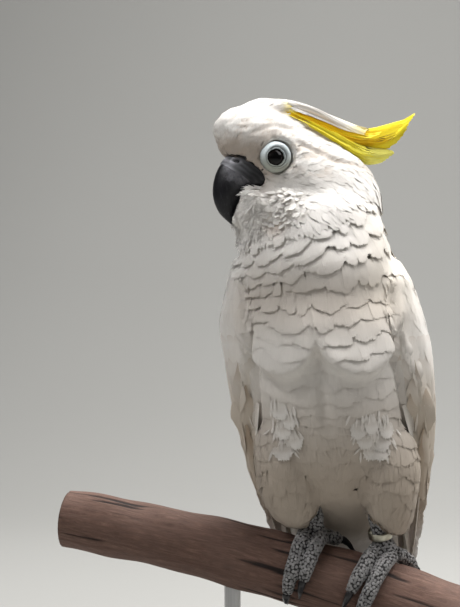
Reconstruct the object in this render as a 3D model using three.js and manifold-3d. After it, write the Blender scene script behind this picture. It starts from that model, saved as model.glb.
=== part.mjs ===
// A life-size still model of a Triton cockatoo, a white parrot with a yellow crest, on a short cut
// branch held by a plain display stand.
// Units are millimetres. +Z is up, the breast faces -Y and the bird's left side is +X. The origin is
// on the underside of the stand, below the place on the perch between the two feet. Heights of the
// bird are counted from the top of the perch there, which is PERCH_TOP above the origin.
import * as THREE from "three";
import { mergeVertices } from "three/addons/utils/BufferGeometryUtils.js";
import Module from "manifold-3d";

const wasm = await Module();
wasm.setup();

// ---- driving dimensions ----
const GAP = 0.3; // clearance between neighbouring pieces
const CUT_GROWTH = 0.45; // how much a piece grows before it cuts its neighbour, so that GAP is kept
const PERCH_TOP = 172; // perch's top below the bird, over the floor
const LEAN = -0.0545; // sideways shift of the body for each millimetre of height
const LEAN_MORE = -0.000265; // and for its square, so that the neck leans most
const LEAN_FROM = 20; // height where the lean starts
const HEAD_TURN = 67; // degrees that the head turns to the bird's right
const EYES_AT = [-43, -8, 233]; // midpoint between the eyes
const EYE_OUT = 24; // from the head's middle plane to the rim of an eye
const NECK_CUT = 150; // height where the trunk ends
const HEAD_CUT = 186; // height where the neck ends
const FOOT_X = { right: 21, left: 20 }; // each foot's distance from the middle
const ANKLE_X = { right: 14.5, left: 22 }; // each ankle's distance from the middle

// Trunk and neck: [height, half width, front y, back y].
const TRUNK_ROWS = [
  [-38, 9, 54, 68],
  [-22, 20, 42, 74],
  [-4, 28, 34, 76],
  [10, 34, 19, 75],
  [24, 39, -4, 74],
  [50, 46, -25, 70],
  [85, 50.5, -39, 64],
  [120, 51.5, -45, 58],
  [150, 49.5, -46, 50],
  [175, 46, -43, 43],
  [196, 42.5, -38, 39],
  [212, 36, -30, 34],
  [224, 25, -18, 25],
];

// Head above the bill and cheeks: [forward of the eyes, half width, bottom, top].
const HEAD_ROWS = [
  [-69, 10, -42, -14],
  [-62, 21, -54, -3],
  [-46, 29, -62, 9],
  [-24, 31.5, -60, 19.5],
  [-10, 29, -42, 27.5],
  [0, 26, -22, 32.5],
  [8, 24, -13, 34],
  [15, 21.5, -7, 33],
  [22, 18.5, -1.5, 30.5],
  [28, 13.5, 3.5, 26.5],
  [32, 7, 9, 20],
  [33.4, 3, 12, 17],
];

// Cheeks and chin, whose feathers hide most of the lower bill, in the head's rows.
const CHEEK_ROWS = [
  [-22, 22, -56, -14],
  [-8, 29, -60, -8],
  [4, 27, -55, -13],
  [12, 21, -50, -18],
  [19, 14, -45, -21.5],
  [25, 5, -40, -27],
];

// The white crest over the crown, its yellow end, and the lower yellow plume, in the head's rows.
const CREST_WHITE_ROWS = [
  [-63, 7, 8, 20],
  [-46, 9, 8, 25],
  [-30, 11, 11, 31],
  [-14, 12, 20, 35.5],
  [2, 10, 28, 37],
  [14, 4, 30, 35],
];
const CREST_TIP_ROWS = [
  [-96, 1.5, 27, 32],
  [-88, 4, 16, 29.5],
  [-77, 6, 7, 23.5],
  [-63.4, 7, 7, 20],
];
const CREST_LOWER_ROWS = [
  [-79, 1.5, 0, 3],
  [-72, 5, -5, 5.5],
  [-60, 7, -8, 8],
  [-42, 8, 0, 12],
  [-22, 8, 10, 18],
];

// Upper bill: [distance along it, forward, up, downward turn in degrees, half height, half width].
const UPPER_BILL_ROWS = [
  [0, 0, -6, 0, 12.5, 12],
  [12, 12, -7, 12, 13.5, 12],
  [24, 21.5, -13.5, 45, 12, 10],
  [34, 25.5, -23, 74, 8.5, 7.5],
  [43, 25, -32, 96, 5.2, 4.8],
  [53, 21, -42, 116, 0.9, 0.9],
];
const LOWER_BILL_ROWS = [
  [0, -4, -27, -8, 6, 9],
  [10, 6, -29, 5, 6, 9.5],
  [18, 14, -31, -25, 4.5, 8],
  [24, 17.5, -28.5, -60, 2, 4.5],
];

// Folded wing: [height, half width over both wings, y of the widest place, front radius,
// back radius, front edge angle, back edge angle, thickness].
const WING_ROWS = [
  [-96, 12, 90, 5, 7, 0, 70, 2.6],
  [-88, 18, 85, 6, 12, -8, 78, 3],
  [-60, 27, 72, 20, 24, -8, 84, 3.6],
  [-30, 36, 59, 28, 34, -8, 86, 4.2],
  [0, 44.5, 44, 32, 44, -10, 86, 5],
  [30, 52, 26, 36, 58, -12, 87, 6],
  [60, 58, 14, 38, 65, -18, 87, 7.5],
  [90, 62, 8, 40, 62, -30, 84, 9],
  [118, 63, 4, 42, 61, -42, 76, 10.5],
  [140, 60, 2, 42, 56, -48, 66, 10.5],
  [156, 57, 2, 45, 54, -40, 60, 8.5],
  [167, 53.5, 2, 47, 50, -24, 48, 5.5],
  [173, 50.5, 2, 47, 46, -8, 36, 2.6],
];
const WING_SPLIT = 52; // height on the outer side where the flight feathers leave the coverts

// Tail: [height, half width, middle y, half thickness].
const TAIL_ROWS = [
  [-139, 22, 96, 1.2],
  [-133, 31, 95, 1.5],
  [-110, 34, 91, 2],
  [-70, 32, 82, 3],
  [-35, 28, 73, 5],
  [-8, 22, 66, 7],
];

// Thigh of each leg: [height, x, y, half width, half depth].
const THIGH_ROWS = {
  right: [
    [13, 25, -1, 9, 9],
    [19, 25.5, -2, 14, 14],
    [32, 28, -3, 19, 20],
    [52, 30, -3, 20, 23],
    [74, 30, -1, 17, 20],
    [92, 28, 6, 8, 10],
  ],
  left: [
    [10, 30, 0, 8, 9],
    [17, 30, -1, 13, 14],
    [31, 30, -3, 17, 20],
    [52, 31, -3, 19, 23],
    [74, 30, -1, 17, 20],
    [92, 28, 6, 8, 10],
  ],
};

// Perch: [x, radius]; its middle line falls to the right and comes slightly forward.
const PERCH_ROWS = [
  [-172, 17.5],
  [-120, 18.5],
  [-60, 19.5],
  [0, 21],
  [60, 21.5],
  [108, 23],
];
const PERCH_FALL = 0.26;
const PERCH_SAG = 0.000386;
const PERCH_FORWARD = 0.1;

const BASE = { width: 230, depth: 176, height: 14, corner: 26, x: -12, y: 24 };
const RODS = { radius: 5, x: [-66, 58] };

const SIDES = [
  ["right", -1],
  ["left", 1],
];

// ---- small helpers ----
const radians = THREE.MathUtils.degToRad;
const vec = (x, y, z) => new THREE.Vector3(x, y, z);

// A smooth function through rows of [place, value, value, ...]. It returns the values at a place.
function through(rows) {
  const last = rows.length - 1;
  const slope = (j, k) => {
    const before = rows[Math.max(j - 1, 0)];
    const after = rows[Math.min(j + 1, last)];
    return (after[k] - before[k]) / (after[0] - before[0]);
  };
  return (place) => {
    const next = rows.findIndex((row, j) => j > 0 && place <= row[0]);
    const j = next < 0 ? last - 1 : next - 1;
    const span = rows[j + 1][0] - rows[j][0];
    const t = THREE.MathUtils.clamp((place - rows[j][0]) / span, 0, 1);
    const [t2, t3] = [t * t, t * t * t];
    return rows[j].slice(1).map((_, i) => {
      const k = i + 1;
      return (
        (2 * t3 - 3 * t2 + 1) * rows[j][k] +
        (t3 - 2 * t2 + t) * span * slope(j, k) +
        (3 * t2 - 2 * t3) * rows[j + 1][k] +
        (t3 - t2) * span * slope(j + 1, k)
      );
    });
  };
}

const evenly = (from, to, count) =>
  Array.from({ length: count }, (_, i) => from + ((to - from) * i) / (count - 1));

// Angles of a full turn, without the repeated last one.
const turn = (count) => evenly(0, 2 * Math.PI, count + 1).slice(0, -1);

// Places from one end of the rows to the other, closer together near both ends.
function placesAlong(rows, count) {
  const [from, to] = [rows[0][0], rows.at(-1)[0]];
  return evenly(0, Math.PI, count).map((a) => {
    const eased = (1 - Math.cos(a)) / 2;
    const even = a / Math.PI;
    return from + (to - from) * (0.5 * eased + 0.5 * even);
  });
}

// A closed solid through rings that have the same number of points. Each end closes on its middle.
function loft(rings) {
  const around = rings[0].length;
  const points = rings.flat();
  const faces = [];
  for (let r = 0; r + 1 < rings.length; r++) {
    for (let i = 0; i < around; i++) {
      const [a, b] = [r * around + i, r * around + ((i + 1) % around)];
      faces.push(a, b, b + around, a, b + around, a + around);
    }
  }
  for (const [ring, facing] of [
    [0, -1],
    [rings.length - 1, 1],
  ]) {
    const middle = points.length;
    points.push(
      rings[ring].reduce((sum, p) => sum.add(p), vec(0, 0, 0)).divideScalar(around),
    );
    for (let i = 0; i < around; i++) {
      const [a, b] = [ring * around + i, ring * around + ((i + 1) % around)];
      faces.push(...(facing > 0 ? [a, b, middle] : [b, a, middle]));
    }
  }
  const geometry = new THREE.BufferGeometry().setFromPoints(points);
  geometry.setIndex(faces);
  return solid(geometry);
}

// A closed geometry as a manifold solid with its faces pointing out.
function solid(geometry) {
  const bare = geometry.index ? geometry.toNonIndexed() : geometry.clone();
  bare.deleteAttribute("normal");
  bare.deleteAttribute("uv");
  const merged = mergeVertices(bare, 1e-4);
  const made = (order) => {
    const triVerts = new Uint32Array(merged.index.array);
    if (order < 0) {
      for (let i = 0; i < triVerts.length; i += 3) {
        [triVerts[i + 1], triVerts[i + 2]] = [triVerts[i + 2], triVerts[i + 1]];
      }
    }
    const vertProperties = merged.attributes.position.array;
    return new wasm.Manifold(new wasm.Mesh({ numProp: 3, vertProperties, triVerts }));
  };
  const forward = made(1);
  return forward.volume() > 0 ? forward : made(-1);
}

// The largest body of a solid, so that slivers left by a cut are dropped.
function mainBody(made) {
  const bodies = made.decompose();
  return bodies.reduce((best, b) => (b.volume() > best.volume() ? b : best), bodies[0]);
}

const minus = (made, ...cutters) =>
  mainBody(cutters.reduce((left, cutter) => left.subtract(cutter), made));

// The part of a solid over or under a level plane, half a gap away from it.
const above = (made, height) => made.trimByPlane([0, 0, 1], PERCH_TOP + height + GAP / 2);
const below = (made, height) => made.trimByPlane([0, 0, -1], -(PERCH_TOP + height) + GAP / 2);

function lean(height) {
  const rise = height - LEAN_FROM;
  return LEAN * rise + LEAN_MORE * rise * Math.abs(rise);
}

// A point of the leaning body, with its height counted from the top of the perch.
const bodyPoint = (x, y, height) => vec(x + lean(height), y, PERCH_TOP + height);

// The head's own frame: forward to the bill, left and up.
const HEAD_FRAME = new THREE.Matrix4()
  .makeTranslation(EYES_AT[0], EYES_AT[1], PERCH_TOP + EYES_AT[2])
  .multiply(new THREE.Matrix4().makeRotationZ(radians(-HEAD_TURN)));
const headPoint = (forward, left, up) => vec(left, -forward, up).applyMatrix4(HEAD_FRAME);

// ---- trunk, neck and head ----
function trunkSolid(grow = 0, around = 22) {
  const shape = through(TRUNK_ROWS);
  const rings = placesAlong(TRUNK_ROWS, 17).map((height) => {
    const [halfWidth, front, back] = shape(height);
    const middle = front + 0.52 * (back - front);
    return turn(around).map((a) => {
      const reach = Math.sin(a) < 0 ? middle - front : back - middle;
      return bodyPoint(
        (halfWidth + grow) * Math.cos(a),
        middle + (reach + grow) * Math.sin(a),
        height,
      );
    });
  });
  return loft(rings);
}

// A solid whose rows follow the head's forward axis. Its upper half narrows by the share topTaper.
function alongHead(rows, { around, count, topTaper = 0, grow = 0 }) {
  const shape = through(rows);
  const rings = placesAlong(rows, count).map((forward) => {
    const [halfWidth, bottom, top] = shape(forward);
    const [middle, half] = [(top + bottom) / 2, (top - bottom) / 2];
    return turn(around).map((a) => {
      const narrowing = 1 - topTaper * Math.max(0, Math.sin(a));
      return headPoint(
        forward,
        (halfWidth + grow) * Math.cos(a) * narrowing,
        middle + (half + grow) * Math.sin(a),
      );
    });
  });
  return loft(rings);
}

// A bill half: rings across a line that turns down as it goes forward.
function billSolid(rows, { around, count, grow = 0 }) {
  const shape = through(rows);
  const rings = evenly(rows[0][0], rows.at(-1)[0], count).map((place) => {
    const [forward, up, down, halfHeight, halfWidth] = shape(place);
    const [c, s] = [Math.cos(radians(down)), Math.sin(radians(down))];
    return turn(around).map((a) => {
      const rise = (halfHeight + grow) * Math.sin(a);
      return headPoint(forward + rise * s, (halfWidth + grow) * Math.cos(a), up + rise * c);
    });
  });
  return loft(rings);
}

// A turned piece on the eye's axis: profile points are [radius, outward from EYE_OUT].
function onEyeAxis(profile, side, segments) {
  const outline = profile.map(([r, out]) => new THREE.Vector2(r, EYE_OUT + out));
  const geometry = new THREE.LatheGeometry(outline, segments)
    .applyMatrix4(new THREE.Matrix4().makeRotationZ(-side * (Math.PI / 2)))
    .applyMatrix4(HEAD_FRAME);
  return solid(geometry);
}

const EYE_PROFILE = [
  [0, -8],
  [4.6, -6.5],
  [5.2, -3],
  [4.7, 0.4],
  [3.2, 2],
  [0, 2.7],
];
const RING_PROFILE = [
  [5.6, -3.5],
  [9.4, -3.5],
  [9.2, 0],
  [7.6, 1.8],
  [5.6, 1.2],
  [5.6, -3.5],
];
const grownProfile = (radius) => [
  [0, -9],
  [radius, -9],
  [radius, 8],
  [0, 8],
];

// ---- wings, tail and thighs ----
function wingSolid(side, grow = 0) {
  const shape = through(WING_ROWS);
  const rings = placesAlong(WING_ROWS, 14).map((height) => {
    const [halfWidth, middle, front, back, from, to, thickness] = shape(height);
    const skin = (inset, angles) =>
      angles.map((a) => {
        const reach = a < 0 ? front : back;
        const thin = inset * (1 - 0.35 * Math.max(0, Math.sin(a)));
        return bodyPoint(
          side * (halfWidth - thin) * Math.cos(a),
          middle + (reach - thin) * Math.sin(a),
          height,
        );
      });
    const margin = grow / 40;
    const angles = evenly(radians(from) - margin, radians(to) + margin, 6);
    return [...skin(-grow, angles), ...skin(thickness + grow, [...angles].reverse())];
  });
  return loft(rings);
}

function tailSolid(grow = 0) {
  const shape = through(TAIL_ROWS);
  const rings = placesAlong(TAIL_ROWS, 8).map((height) => {
    const [halfWidth, middle, half] = shape(height);
    return turn(14).map((a) => {
      const across = Math.cos(a);
      const bow = 5 * across * across; // the outer feathers lie further forward
      return bodyPoint(
        (halfWidth + grow) * across,
        middle - bow + (half + grow) * Math.sin(a),
        height,
      );
    });
  });
  return loft(rings);
}

function thighSolid([side, sign], grow = 0) {
  const shape = through(THIGH_ROWS[side]);
  const rings = placesAlong(THIGH_ROWS[side], 7).map((height) => {
    const [x, y, halfWidth, halfDepth] = shape(height);
    return turn(13).map((a) =>
      bodyPoint(
        sign * x + (halfWidth + grow) * Math.cos(a),
        y + (halfDepth + grow) * Math.sin(a),
        height,
      ),
    );
  });
  return loft(rings);
}

// ---- perch and feet ----
const perchRadius = through(PERCH_ROWS);
const perchMiddle = (x) => {
  const drop = PERCH_FALL * x + PERCH_SAG * x * x;
  return vec(x, -PERCH_FORWARD * x, PERCH_TOP - perchRadius(0)[0] - drop);
};
// Small swellings of the cut branch, so that it isn't a plain rod.
const bark = (x, angle) =>
  0.5 * Math.sin(0.07 * x + 2 * angle) + 0.35 * Math.sin(0.16 * x - 3 * angle + 1);

// A point over the perch: angle 0 is its top, positive angles go down its front.
function perchPoint(x, angle, out) {
  const along = perchMiddle(x + 0.5).sub(perchMiddle(x - 0.5)).normalize();
  const up = vec(0, 0, 1).addScaledVector(along, -along.z).normalize();
  const front = up.clone().cross(along).negate();
  const radius = perchRadius(x)[0] + bark(x, angle) + out;
  return perchMiddle(x)
    .addScaledVector(up, radius * Math.cos(angle))
    .addScaledVector(front, radius * Math.sin(angle));
}

function perchSolid(grow = 0) {
  const [from, to] = [PERCH_ROWS[0][0], PERCH_ROWS.at(-1)[0]];
  const rings = evenly(from - grow, to + grow, 14).map((x) =>
    turn(15).map((a) => perchPoint(x, a, grow)),
  );
  return loft(rings);
}

// A round limb through centres, each a { at, radius, wide }: wide stretches it along the perch.
function limb(centres, around, grow = 0) {
  const rings = centres.map(({ at, radius, wide = 1 }, i) => {
    const before = centres[Math.max(i - 1, 0)].at;
    const after = centres[Math.min(i + 1, centres.length - 1)].at;
    const along = after.clone().sub(before).normalize();
    const side = vec(1, 0, 0).addScaledVector(along, -along.x).normalize();
    const other = along.clone().cross(side);
    const longer = grow * ((i === centres.length - 1) - (i === 0));
    return turn(around).map((a) =>
      at
        .clone()
        .addScaledVector(along, longer)
        .addScaledVector(side, (radius * wide + grow) * Math.cos(a))
        .addScaledVector(other, (radius + grow) * Math.sin(a)),
    );
  });
  return loft(rings);
}

// Toes of each foot: number, outward start and end from the foot's middle, and the angles round
// the perch where the toe starts and ends.
const TOES = {
  right: [
    { toe: 1, x: [-4, -14], angle: [-6, -20] },
    { toe: 2, x: [-4.6, -3.2], angle: [10, 88] },
    { toe: 3, x: [4.8, 4.4], angle: [10, 112] },
    { toe: 4, x: [4, 13], angle: [-14, -74] },
  ],
  left: [
    { toe: 1, x: [-4, -12], angle: [-14, -62] },
    { toe: 2, x: [-4.6, -10.4], angle: [10, 84] },
    { toe: 3, x: [4.4, -2.6], angle: [10, 112] },
    { toe: 4, x: [5, 17], angle: [-10, -44] },
  ],
};
const TOE_RADIUS = [4.3, 3.6];
const TOE_LIFT = 0.7; // clearance between a toe and the perch
const CLAW_RADIUS = [2.7, 0.5];
const CLAW_LENGTH = 13;

function toeCentres([side, sign], { x, angle }) {
  return evenly(0, 1, 7).map((t) => {
    const pads = 0.35 * Math.abs(Math.cos(3 * Math.PI * t));
    const tip = t > 0.99 ? 0.74 : 1;
    const radius = (THREE.MathUtils.lerp(...TOE_RADIUS, t) + pads) * tip;
    const across = sign * (FOOT_X[side] + THREE.MathUtils.lerp(...x, t));
    const place = radians(THREE.MathUtils.lerp(...angle, t));
    return { at: perchPoint(across, place, radius + TOE_LIFT), radius };
  });
}

// A claw carries on the way of its toe, arching off the perch and back to it.
function clawCentres([side, sign], { x, angle }) {
  const round = radians(angle[1] - angle[0]) * perchRadius(0)[0];
  const stretch = CLAW_LENGTH / Math.hypot(round, x[1] - x[0]);
  return evenly(-0.12, 1, 5).map((t) => {
    const radius = THREE.MathUtils.lerp(...CLAW_RADIUS, Math.max(t, 0));
    const across = sign * (FOOT_X[side] + x[1] + (x[1] - x[0]) * stretch * t);
    const place = radians(angle[1] + (angle[1] - angle[0]) * stretch * t);
    const arch = 2.2 * Math.sin(Math.PI * Math.min(1, Math.max(0, t + 0.3)));
    return { at: perchPoint(across, place, radius + TOE_LIFT + arch), radius };
  });
}

// The sole and the short shank, which rises back into the thigh.
function shankCentres([side, sign]) {
  const x = sign * FOOT_X[side];
  const sole = perchPoint(x, radians(4), 5.6);
  const ankle = bodyPoint(sign * ANKLE_X[side], -5, 20);
  return [
    { at: sole.clone().add(vec(0, -2, -2.5)), radius: 4, wide: 1.3 },
    { at: sole, radius: 5.9, wide: 1.4 },
    { at: sole.clone().lerp(ankle, 0.3).add(vec(0, 1, 0)), radius: 5.4, wide: 1.1 },
    { at: sole.clone().lerp(ankle, 0.55), radius: 4.7 },
    { at: ankle, radius: 5 },
    { at: ankle.clone().add(vec(sign, 0, 5)), radius: 4 },
  ];
}

// The leg band hangs tilted on the left shank.
function bandSolid(inner = 6.2, outer = 7.2, half = 2.3) {
  const [, sole, , upper] = shankCentres(SIDES[1]);
  const outline = [
    [inner, -half],
    [outer - 0.3, -half],
    [outer, 0],
    [outer - 0.3, half],
    [inner, half],
    [inner, -half],
  ].map(([r, h]) => new THREE.Vector2(r, h));
  const along = upper.at.clone().sub(sole.at).normalize().add(vec(0.12, -0.3, 0)).normalize();
  const frame = new THREE.Matrix4()
    .makeRotationFromQuaternion(
      new THREE.Quaternion().setFromUnitVectors(vec(0, 1, 0), along),
    )
    .setPosition(upper.at.clone().add(vec(0, 0, -0.6)));
  return solid(new THREE.LatheGeometry(outline, 16).applyMatrix4(frame));
}

// ---- stand ----
function baseGeometry() {
  const { width, depth, height, corner } = BASE;
  const bevel = 2;
  const [w, d, r] = [width / 2 - bevel, depth / 2 - bevel, corner];
  const shape = new THREE.Shape();
  shape.absarc(w - r, d - r, r, 0, Math.PI / 2);
  shape.absarc(-w + r, d - r, r, Math.PI / 2, Math.PI);
  shape.absarc(-w + r, -d + r, r, Math.PI, 1.5 * Math.PI);
  shape.absarc(w - r, -d + r, r, 1.5 * Math.PI, 2 * Math.PI);
  return new THREE.ExtrudeGeometry(shape, {
    depth: height - 2 * bevel,
    bevelThickness: bevel,
    bevelSize: bevel,
    bevelSegments: 1,
    curveSegments: 4,
  }).translate(0, 0, bevel);
}

function rodSolid(x) {
  const at = perchMiddle(x);
  const height = at.z - BASE.height - GAP;
  const geometry = new THREE.CylinderGeometry(RODS.radius, RODS.radius, height, 14)
    .rotateX(Math.PI / 2)
    .translate(x, at.y, BASE.height + GAP + height / 2);
  return solid(geometry);
}

// ---- materials ----
const material = (color, roughness, metalness = 0) =>
  new THREE.MeshStandardMaterial({ color, roughness, metalness });
const WHITE = material(0xf1ece4, 0.85);
const YELLOW = material(0xf4d61e, 0.8);
const BILL = material(0x34333a, 0.5);
const CERE = material(0x5a5960, 0.7);
const EYE = material(0x0d0a09, 0.1);
const EYE_RING = material(0xb4ced6, 0.6);
const SCALES = material(0x77757a, 0.8);
const CLAW = material(0x1b191b, 0.35);
const BAND = material(0xb9b7a4, 0.35, 1);
const WOOD = material(0x6f4c3a, 0.85);
const STAND = material(0x2c2b2d, 0.5);
const STEEL = material(0x9a9a9c, 0.35, 1);

// ---- assembly ----
const model = new THREE.Group();

function add(name, made, look) {
  const mesh = made.getMesh();
  const geometry = new THREE.BufferGeometry();
  geometry.setAttribute("position", new THREE.BufferAttribute(mesh.vertProperties, 3));
  geometry.setIndex(new THREE.BufferAttribute(mesh.triVerts, 1));
  geometry.computeVertexNormals();
  const node = new THREE.Mesh(geometry, look);
  node.name = name;
  model.add(node);
}

const headLook = { around: 18, count: 12, topTaper: 0.16 };
const crestLook = { around: 10, count: 7 };
const billLook = { around: 12, count: 8 };

const trunkGrown = trunkSolid(CUT_GROWTH);
const headSolid = (grow = 0) =>
  alongHead(HEAD_ROWS, { ...headLook, grow }).add(
    alongHead(CHEEK_ROWS, { around: 14, count: 7, grow }),
  );
const wholeHead = headSolid();
const wholeHeadGrown = headSolid(CUT_GROWTH);
const perchGrown = perchSolid(CUT_GROWTH);

// Bill: the cere is its root, over a slanting plane, and both halves sit in sockets of the head.
const CERE_SWELL = 0.8;
const CERE_EDGE = headPoint(29, 0, -4);
const CERE_UP = headPoint(29 - 7, 0, -4 + 10).sub(CERE_EDGE).normalize();
const CERE_FROM = CERE_UP.dot(CERE_EDGE);
const upperBill = billSolid(UPPER_BILL_ROWS, billLook).trimByPlane(
  CERE_UP.clone().negate().toArray(),
  -CERE_FROM + GAP / 2,
);
const cere = billSolid(UPPER_BILL_ROWS, { ...billLook, grow: CERE_SWELL }).trimByPlane(
  CERE_UP.toArray(),
  CERE_FROM + GAP / 2,
);
const upperBillSocket = billSolid(UPPER_BILL_ROWS, {
  ...billLook,
  grow: CERE_SWELL + CUT_GROWTH,
});
const lowerBill = billSolid(LOWER_BILL_ROWS, { around: 10, count: 6 });
const lowerBillSocket = billSolid(LOWER_BILL_ROWS, {
  around: 10,
  count: 6,
  grow: CUT_GROWTH,
});
add("cere", cere, CERE);
add("bill_upper", upperBill, BILL);
add("bill_lower", minus(lowerBill, upperBillSocket), BILL);

// Crest: each layer is cut by the one over it.
const crestPiece = (rows, grow = 0) => alongHead(rows, { ...crestLook, grow });
const crestWhite = crestPiece(CREST_WHITE_ROWS);
const crestWhiteGrown = crestPiece(CREST_WHITE_ROWS, CUT_GROWTH);
const crestTipGrown = crestPiece(CREST_TIP_ROWS, CUT_GROWTH);
const crestLower = minus(
  crestPiece(CREST_LOWER_ROWS),
  crestWhiteGrown,
  crestTipGrown,
  wholeHeadGrown,
);
add("crest_white", minus(crestWhite, wholeHeadGrown), WHITE);
add("crest_tip", crestPiece(CREST_TIP_ROWS), YELLOW);
add("crest_lower", crestLower, YELLOW);

// Eyes and their rings of bare skin.
const eyeCutters = [];
for (const [side, sign] of SIDES) {
  add("eye_" + side, onEyeAxis(EYE_PROFILE, sign, 12), EYE);
  add("eye_ring_" + side, onEyeAxis(RING_PROFILE, sign, 16), EYE_RING);
  eyeCutters.push(onEyeAxis(grownProfile(10), sign, 14));
}

// Flesh under feathers: one whole, parted by thin level cuts.
const flesh = trunkSolid().add(wholeHead);
const sockets = [...eyeCutters, upperBillSocket, lowerBillSocket];
add("head", minus(above(flesh, HEAD_CUT), ...sockets), WHITE);
add("neck", mainBody(below(above(flesh, NECK_CUT), HEAD_CUT)), WHITE);
add("trunk", mainBody(below(flesh, NECK_CUT)), WHITE);

// Tail, wings and thighs, each cut by what it lies against.
const tailGrown = tailSolid(CUT_GROWTH);
add("tail", minus(tailSolid(), trunkGrown), WHITE);
for (const [side, sign] of SIDES) {
  const wing = minus(wingSolid(sign), trunkGrown, tailGrown, wholeHeadGrown);
  add("wing_" + side + "_coverts", mainBody(above(wing, WING_SPLIT)), WHITE);
  add("wing_" + side + "_flight", mainBody(below(wing, WING_SPLIT)), WHITE);
}
const bandGrown = bandSolid(0.01, 7.2 + CUT_GROWTH, 2.3 + CUT_GROWTH);
for (const which of SIDES) {
  const [side, sign] = which;
  const worn = side === "left" ? [bandGrown] : [];
  const shankGrown = limb(shankCentres(which), 10, 1.7 * CUT_GROWTH);
  const wingGrown = wingSolid(sign, CUT_GROWTH);
  const toesGrown = TOES[side].map((toe) => limb(toeCentres(which, toe), 8, CUT_GROWTH));
  const shank = minus(limb(shankCentres(which), 10), trunkGrown, perchGrown);
  add("shank_" + side, shank, SCALES);
  TOES[side].forEach((toe, i) => {
    const name = "_" + side + "_" + toe.toe;
    const cutters = [trunkGrown, shankGrown, ...worn, ...toesGrown.slice(0, i)];
    add("toe" + name, minus(limb(toeCentres(which, toe), 8), ...cutters), SCALES);
    const claw = limb(clawCentres(which, toe), 6);
    add("claw" + name, minus(claw, toesGrown[i]), CLAW);
  });
  const cutters = [trunkGrown, wingGrown, shankGrown, perchGrown, ...worn, ...toesGrown];
  add("thigh_" + side, minus(thighSolid(which), ...cutters), WHITE);
}
add("leg_band", bandSolid(), BAND);

// Perch and stand.
add("perch", perchSolid(), WOOD);
const base = solid(baseGeometry()).translate([BASE.x, BASE.y, 0]);
add("stand_base", base, STAND);
RODS.x.forEach((x, i) =>
  add("stand_rod_" + (i + 1), minus(rodSolid(x), perchGrown), STEEL),
);

export default model;
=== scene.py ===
"""A still model of a white cockatoo with a yellow crest, gripping a short branch on a plain stand.

Lengths are millimetres in this script's own arithmetic and metres in Blender. The frame is the CAD
part's: +Z up, the breast faces -Y, the bird's left is +X. Heights of the bird count from the top of
the perch, which is PERCH_TOP over the floor.
"""

import math
from collections import namedtuple

import bmesh
import bpy
import numpy as np
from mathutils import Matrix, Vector, noise
from mathutils.bvhtree import BVHTree


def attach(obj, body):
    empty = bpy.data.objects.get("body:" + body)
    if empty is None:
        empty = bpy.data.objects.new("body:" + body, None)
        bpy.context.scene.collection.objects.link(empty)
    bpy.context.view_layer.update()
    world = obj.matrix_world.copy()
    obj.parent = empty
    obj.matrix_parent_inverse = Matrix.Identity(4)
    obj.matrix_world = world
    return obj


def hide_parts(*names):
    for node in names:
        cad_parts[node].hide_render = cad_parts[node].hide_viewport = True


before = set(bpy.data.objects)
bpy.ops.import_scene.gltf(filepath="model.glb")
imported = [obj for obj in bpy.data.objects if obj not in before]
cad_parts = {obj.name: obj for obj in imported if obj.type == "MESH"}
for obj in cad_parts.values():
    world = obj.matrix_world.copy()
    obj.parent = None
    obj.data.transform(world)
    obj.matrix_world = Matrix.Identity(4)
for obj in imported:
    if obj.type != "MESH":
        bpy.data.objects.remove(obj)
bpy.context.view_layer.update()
RNG = np.random.default_rng(23)
MM = 0.001

# ---- sizes shared with the solids ----
PERCH_TOP = 172.0
EYES = np.array([-43.0, -8.0, PERCH_TOP + 233.0])  # the point midway between the eyes
EYE_OUT = 24.0  # from that point to either eye
HEAD_TURN = math.radians(67)
FORWARD = np.array([-math.sin(HEAD_TURN), -math.cos(HEAD_TURN), 0.0])
LEFT = np.array([math.cos(HEAD_TURN), -math.sin(HEAD_TURN), 0.0])
UP = np.array([0.0, 0.0, 1.0])

SIDES = (("right", -1), ("left", 1))
FLESH = ["head", "neck", "trunk", "thigh_right", "thigh_left", "wing_right_coverts",
         "wing_left_coverts"]
BLADES = ["wing_right_flight", "wing_left_flight", "tail"]


def lean(height):
    """Where the bird's bent axis lies across, at a height."""
    rise = height - 20
    return -0.0545 * rise - 0.000265 * rise * abs(rise)


def off_axis(points):
    """How far places lie to either side of that axis."""
    return np.abs(points[:, 0] - lean(points[:, 2] - PERCH_TOP))


def head_point(forward, left, up):
    """A point of the turned head, from the midpoint between its eyes."""
    return EYES + FORWARD * forward + LEFT * left + UP * up


def in_head(points):
    """The other way round: how far forward, left and up of that midpoint places lie."""
    rel = points - EYES
    return rel @ FORWARD, rel @ LEFT, rel[..., 2]


def lerp(a, b, t):
    return a + (b - a) * t


def smooth(low, high, x):
    """A soft step from 0 at low to 1 at high, where low may be the larger one."""
    t = np.clip((np.asarray(x, float) - low) / (high - low), 0, 1)
    return t * t * (3 - 2 * t)


def hump(x, middle, width):
    """A soft hump of height 1."""
    return np.exp(-(((x - middle) / width) ** 2))


def through(rows):
    """A smooth curve through rows of (place, value, value, ...)."""
    rows = np.array(rows, float)
    x, y = rows[:, 0], rows[:, 1:]
    slope = np.gradient(y, x, axis=0)

    def at(place):
        place = np.clip(np.atleast_1d(np.asarray(place, float)), x[0], x[-1])
        j = np.clip(np.searchsorted(x, place) - 1, 0, len(x) - 2)
        span = x[j + 1] - x[j]
        t = ((place - x[j]) / span)[:, None]
        span = span[:, None]
        return (
            (2 * t**3 - 3 * t**2 + 1) * y[j]
            + (t**3 - 2 * t**2 + t) * span * slope[j]
            + (3 * t**2 - 2 * t**3) * y[j + 1]
            + (t**3 - t**2) * span * slope[j + 1]
        )

    return at


def unit(v):
    v = np.asarray(v, float)
    return v / (np.linalg.norm(v, axis=-1, keepdims=True) + 1e-12)


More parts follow.
